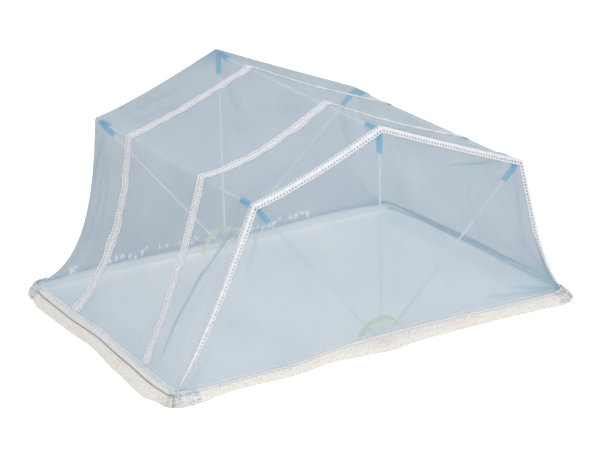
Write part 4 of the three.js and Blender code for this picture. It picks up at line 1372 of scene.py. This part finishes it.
def make_floor(settings):
    """A large sheet of white studio paper that passes some light from below."""
    mesh = bpy.data.meshes.new("floor")
    corners = [(x * FLOOR_HALF, y * FLOOR_HALF, FLOOR_Z)
               for x, y in ((-1, -1), (1, -1), (1, 1), (-1, 1))]
    mesh.from_pydata(corners, [], [(0, 1, 2, 3)])
    floor = bpy.data.objects.new("floor", mesh)
    bpy.context.scene.collection.objects.link(floor)
    material, add = new_material("studio_paper")
    place = add("TexCoord", output="Object")
    fibre = add("TexNoise", {"Vector": place, "Scale": 1 / (40 * MM), "Detail": 3})
    tone = layered(add, hex_colour("fbf7f3"),
                   [(add("MapRange", [fibre, 0.3, 0.7, 0, 1]), hex_colour("f8f4ef"))])
    add("OutputMaterial", [add("BsdfPrincipled", {
        "Base Color": tone, "Roughness": 1.0, "Specular IOR Level": 0.0,
        "Emission Color": (1, 1, 1, 1), "Emission Strength": settings.glow})])
    mesh.materials.append(material)


def soft_light(name, place, target, size, power):
    """A round area light that faces a target."""
    data = bpy.data.lights.new(name, "AREA")
    data.shape = "DISK"
    data.size = size
    data.energy = power
    light = bpy.data.objects.new(name, data)
    light.location = place
    light.rotation_euler = (Vector(target) - Vector(place)).to_track_quat("-Z", "Y").to_euler()
    bpy.context.scene.collection.objects.link(light)


def white_room(strength):
    """An even white world round the tent."""
    world = bpy.data.worlds.new("white_room")
    bpy.context.scene.world = world
    world.use_nodes = True
    world.node_tree.nodes.clear()
    add = partial(add_node, world.node_tree)
    add("OutputWorld", [add("Background", {"Color": (1, 1, 1, 1), "Strength": strength})])


# Operators

class TENT_OT_stage(bpy.types.Operator):
    """Sets up the camera, the white floor and the soft lights"""
    bl_idname = "crib_tent.stage"
    bl_label = "Stage and camera"

    def execute(self, context):
        settings = context.scene.crib_tent_stage
        make_camera(settings)
        make_floor(settings)
        white_room(settings.sky)
        soft_light("key", (-0.5, -1.8, 2.5), (0, 0, 0.2), 1.3, settings.key)
        soft_light("top", (0.7, 1.0, 2.7), (0, 0, 0.3), 1.6, 0.3 * settings.key)
        context.scene.view_settings.view_transform = "Standard"
        return {"FINISHED"}


class TENT_OT_net(bpy.types.Operator):
    """Lays the top sheet over the bows and hangs the two side panels"""
    bl_idname = "crib_tent.net"
    bl_label = "Net sheets"

    def execute(self, context):
        sizes = context.scene.crib_tent_sizes
        net = knitted_polyester_net(context.scene.crib_tent_colours, sizes)
        sheets = tent_sheets(sizes.cloth_step / MM)
        for node, cut, rests_on in (
                ("net_top", (0.74, 1.56), [f"bar_{bow.name}" for bow in BOWS]),
                ("net_side_near", (1.0, 0.49), ["net_top"]),
                ("net_side_far", (1.0, 0.49), ["net_top"])):
            net_piece(node, sheets[node], net, cut, rests_on)
        return {"FINISHED"}


class TENT_OT_tapes(bpy.types.Operator):
    """Sews the seam tape and the two lengthwise lace tapes on the top sheet"""
    bl_idname = "crib_tent.tapes"
    bl_label = "Lace tapes"

    def execute(self, context):
        sizes, colours = context.scene.crib_tent_sizes, context.scene.crib_tent_colours
        # The gimp's small glow is painted light.
        cotton = crochet_cotton("crochet_cotton_gimp", colours.lace, hex_colour("c3c9d3"),
                                glow=0.015)
        top = tent_sheets(sizes.cloth_step / MM)["net_top"]
        for seed, (name, (across, stray)) in enumerate(TAPES.items()):
            lengthwise_tape(name, top, across, stray, sizes, cotton, 21 + seed * 8)
        seam_tape(top, sizes, cotton)
        return {"FINISHED"}


class TENT_OT_hem_lace(bpy.types.Operator):
    """Sews the ridged braid round the hem and the lace flowers along the far side"""
    bl_idname = "crib_tent.hem_lace"
    bl_label = "Hem lace"

    def execute(self, context):
        sizes, colours = context.scene.crib_tent_sizes, context.scene.crib_tent_colours
        braid = crochet_cotton("woven_cotton_braid", colours.lace, hex_colour("a9adb2"), 0.9)
        # The flowers' glow is painted light, so that they show brighter than what is behind them.
        white = crochet_cotton("crochet_cotton_motif", hex_colour("ffffff"), hex_colour("e4e8ec"),
                               cover=1.2, glow=0.42)
        hem = folded_net_hem()
        sheets = tent_sheets(sizes.cloth_step / MM)
        columns = np.linspace(0.03, 0.97, 240)
        for side, runs, cotton in (("left", (0.0, 0.12), braid), ("right", (7.0, 6.88), hem)):
            surface = hem_surface(sheets["net_top"], np.linspace(*runs, 12))
            hem_strip(f"hem_lace_{side}", surface, columns, cotton, 1.2)
        for side in ("near", "far"):
            node = f"net_side_{side}"
            grid = sheets[node].grid
            tall = np.flatnonzero(grid[:, -1, 2] - grid[:, 0, 2] > 30)
            rows = np.linspace(tall[0], tall[-1], 330)
            surface = hem_surface(sheets[node])
            hem_strip(f"hem_lace_{side}", surface, rows, hem, 0.4)
        far_flowers(surface, rows, white)
        return {"FINISHED"}


class TENT_OT_band(bpy.types.Operator):
    """Pads the band round the base and loops thread over three of its corners"""
    bl_idname = "crib_tent.band"
    bl_label = "Base band"

    def execute(self, context):
        colours = context.scene.crib_tent_colours
        wadding = brushed_cotton_wadding(colours)
        # Both linings glow with painted light; the right one is also painted blue as the shade along
        # that side.
        lining = bleached_cotton_lining("bleached_cotton_lining", hex_colour("f8fafa"), 0.07)
        right_lining_painted_shade = bleached_cotton_lining("blue_cotton_lining", hex_colour("9ec0d2"), 0.14)
        for side in SIDES:
            base_band(side, wadding, right_lining_painted_shade if side == "right" else lining)
        teal = crochet_cotton("looped_blue_thread", colours.loops, hex_colour("9cc9d1"), 3.5, 1.2)
        # The grey loops' small glow is painted light.
        grey = crochet_cotton("looped_cotton_thread", hex_colour("e9eaeb"), hex_colour("a3a8ac"),
                              3.0, 1.2, 0.03)
        corner_loops("left", "near", (4, 12), teal, 3, 4.4)
        corner_loops("near", "right", (9, 9), grey, 3, 5.6)
        corner_loops("far", "left", (9, 12), grey, 4, 5.8)
        return {"FINISHED"}


class TENT_OT_bows(bpy.types.Operator):
    """Makes the rods of the three bows and the blue elbow sleeves that join them"""
    bl_idname = "crib_tent.bows"
    bl_label = "Rods and sleeves"

    def execute(self, context):
        colours = context.scene.crib_tent_colours
        fibre, pvc = pultruded_glass_fibre(colours), extruded_soft_pvc(colours)
        rod_end = SLEEVE_BEND + 2
        for bow in BOWS:
            bar_ends = []
            for side, corner, pivot, down, inward in bow_ends(bow):
                foot = pivot - down * (CASE_RADIUS - SOCKET_DEPTH + 0.5)
                straight_rod(f"leg_{bow.name}_{side}", foot, corner + down * rod_end, fibre)
                elbow_sleeve(f"sleeve_{bow.name}_{side}", corner, down, inward, pvc)
                bar_ends.append(corner + inward * rod_end)
            straight_rod(f"bar_{bow.name}", *bar_ends, fibre)
        return {"FINISHED"}


class TENT_OT_hinges(bpy.types.Operator):
    """Makes the two half-disc hinge cases that the bows turn in"""
    bl_idname = "crib_tent.hinges"
    bl_label = "Hinge cases"

    def execute(self, context):
        plastic = moulded_polypropylene(context.scene.crib_tent_colours)
        hinge_case("hinge_case_near", -1, plastic)
        hinge_case("hinge_case_far", 1, plastic)
        return {"FINISHED"}


OPERATORS = [TENT_OT_stage, TENT_OT_net, TENT_OT_tapes, TENT_OT_hem_lace, TENT_OT_band,
             TENT_OT_bows, TENT_OT_hinges]


class TENT_PT_panel(bpy.types.Panel):
    """Buttons and settings of the crib tent"""
    bl_idname = "TENT_PT_panel"
    bl_label = "Crib Tent"
    bl_space_type = "VIEW_3D"
    bl_region_type = "UI"
    bl_category = "Crib Tent"

    def draw(self, context):
        layout = self.layout
        for operator in OPERATORS:
            layout.operator(operator.bl_idname)
        for group in SETTINGS:
            settings = getattr(context.scene, group)
            box = layout.box()
            for name in settings.bl_rna.properties.keys():
                if name not in ("rna_type", "name"):
                    box.prop(settings, name)


SETTINGS = {"crib_tent_sizes": TentSizes, "crib_tent_colours": TentColours,
            "crib_tent_stage": StageSettings}
CLASSES = [*SETTINGS.values(), *OPERATORS, TENT_PT_panel]


def register():
    for cls in CLASSES:
        bpy.utils.register_class(cls)
    for name, cls in SETTINGS.items():
        setattr(bpy.types.Scene, name, bpy.props.PointerProperty(type=cls))


def unregister():
    for name in SETTINGS:
        delattr(bpy.types.Scene, name)
    for cls in reversed(CLASSES):
        bpy.utils.unregister_class(cls)


def main():
    """Builds the tent with the add-on's own operators."""
    register()
    for operator in OPERATORS:
        group, name = operator.bl_idname.split(".")
        getattr(getattr(bpy.ops, group), name)()


if __name__ == "__main__":
    main()
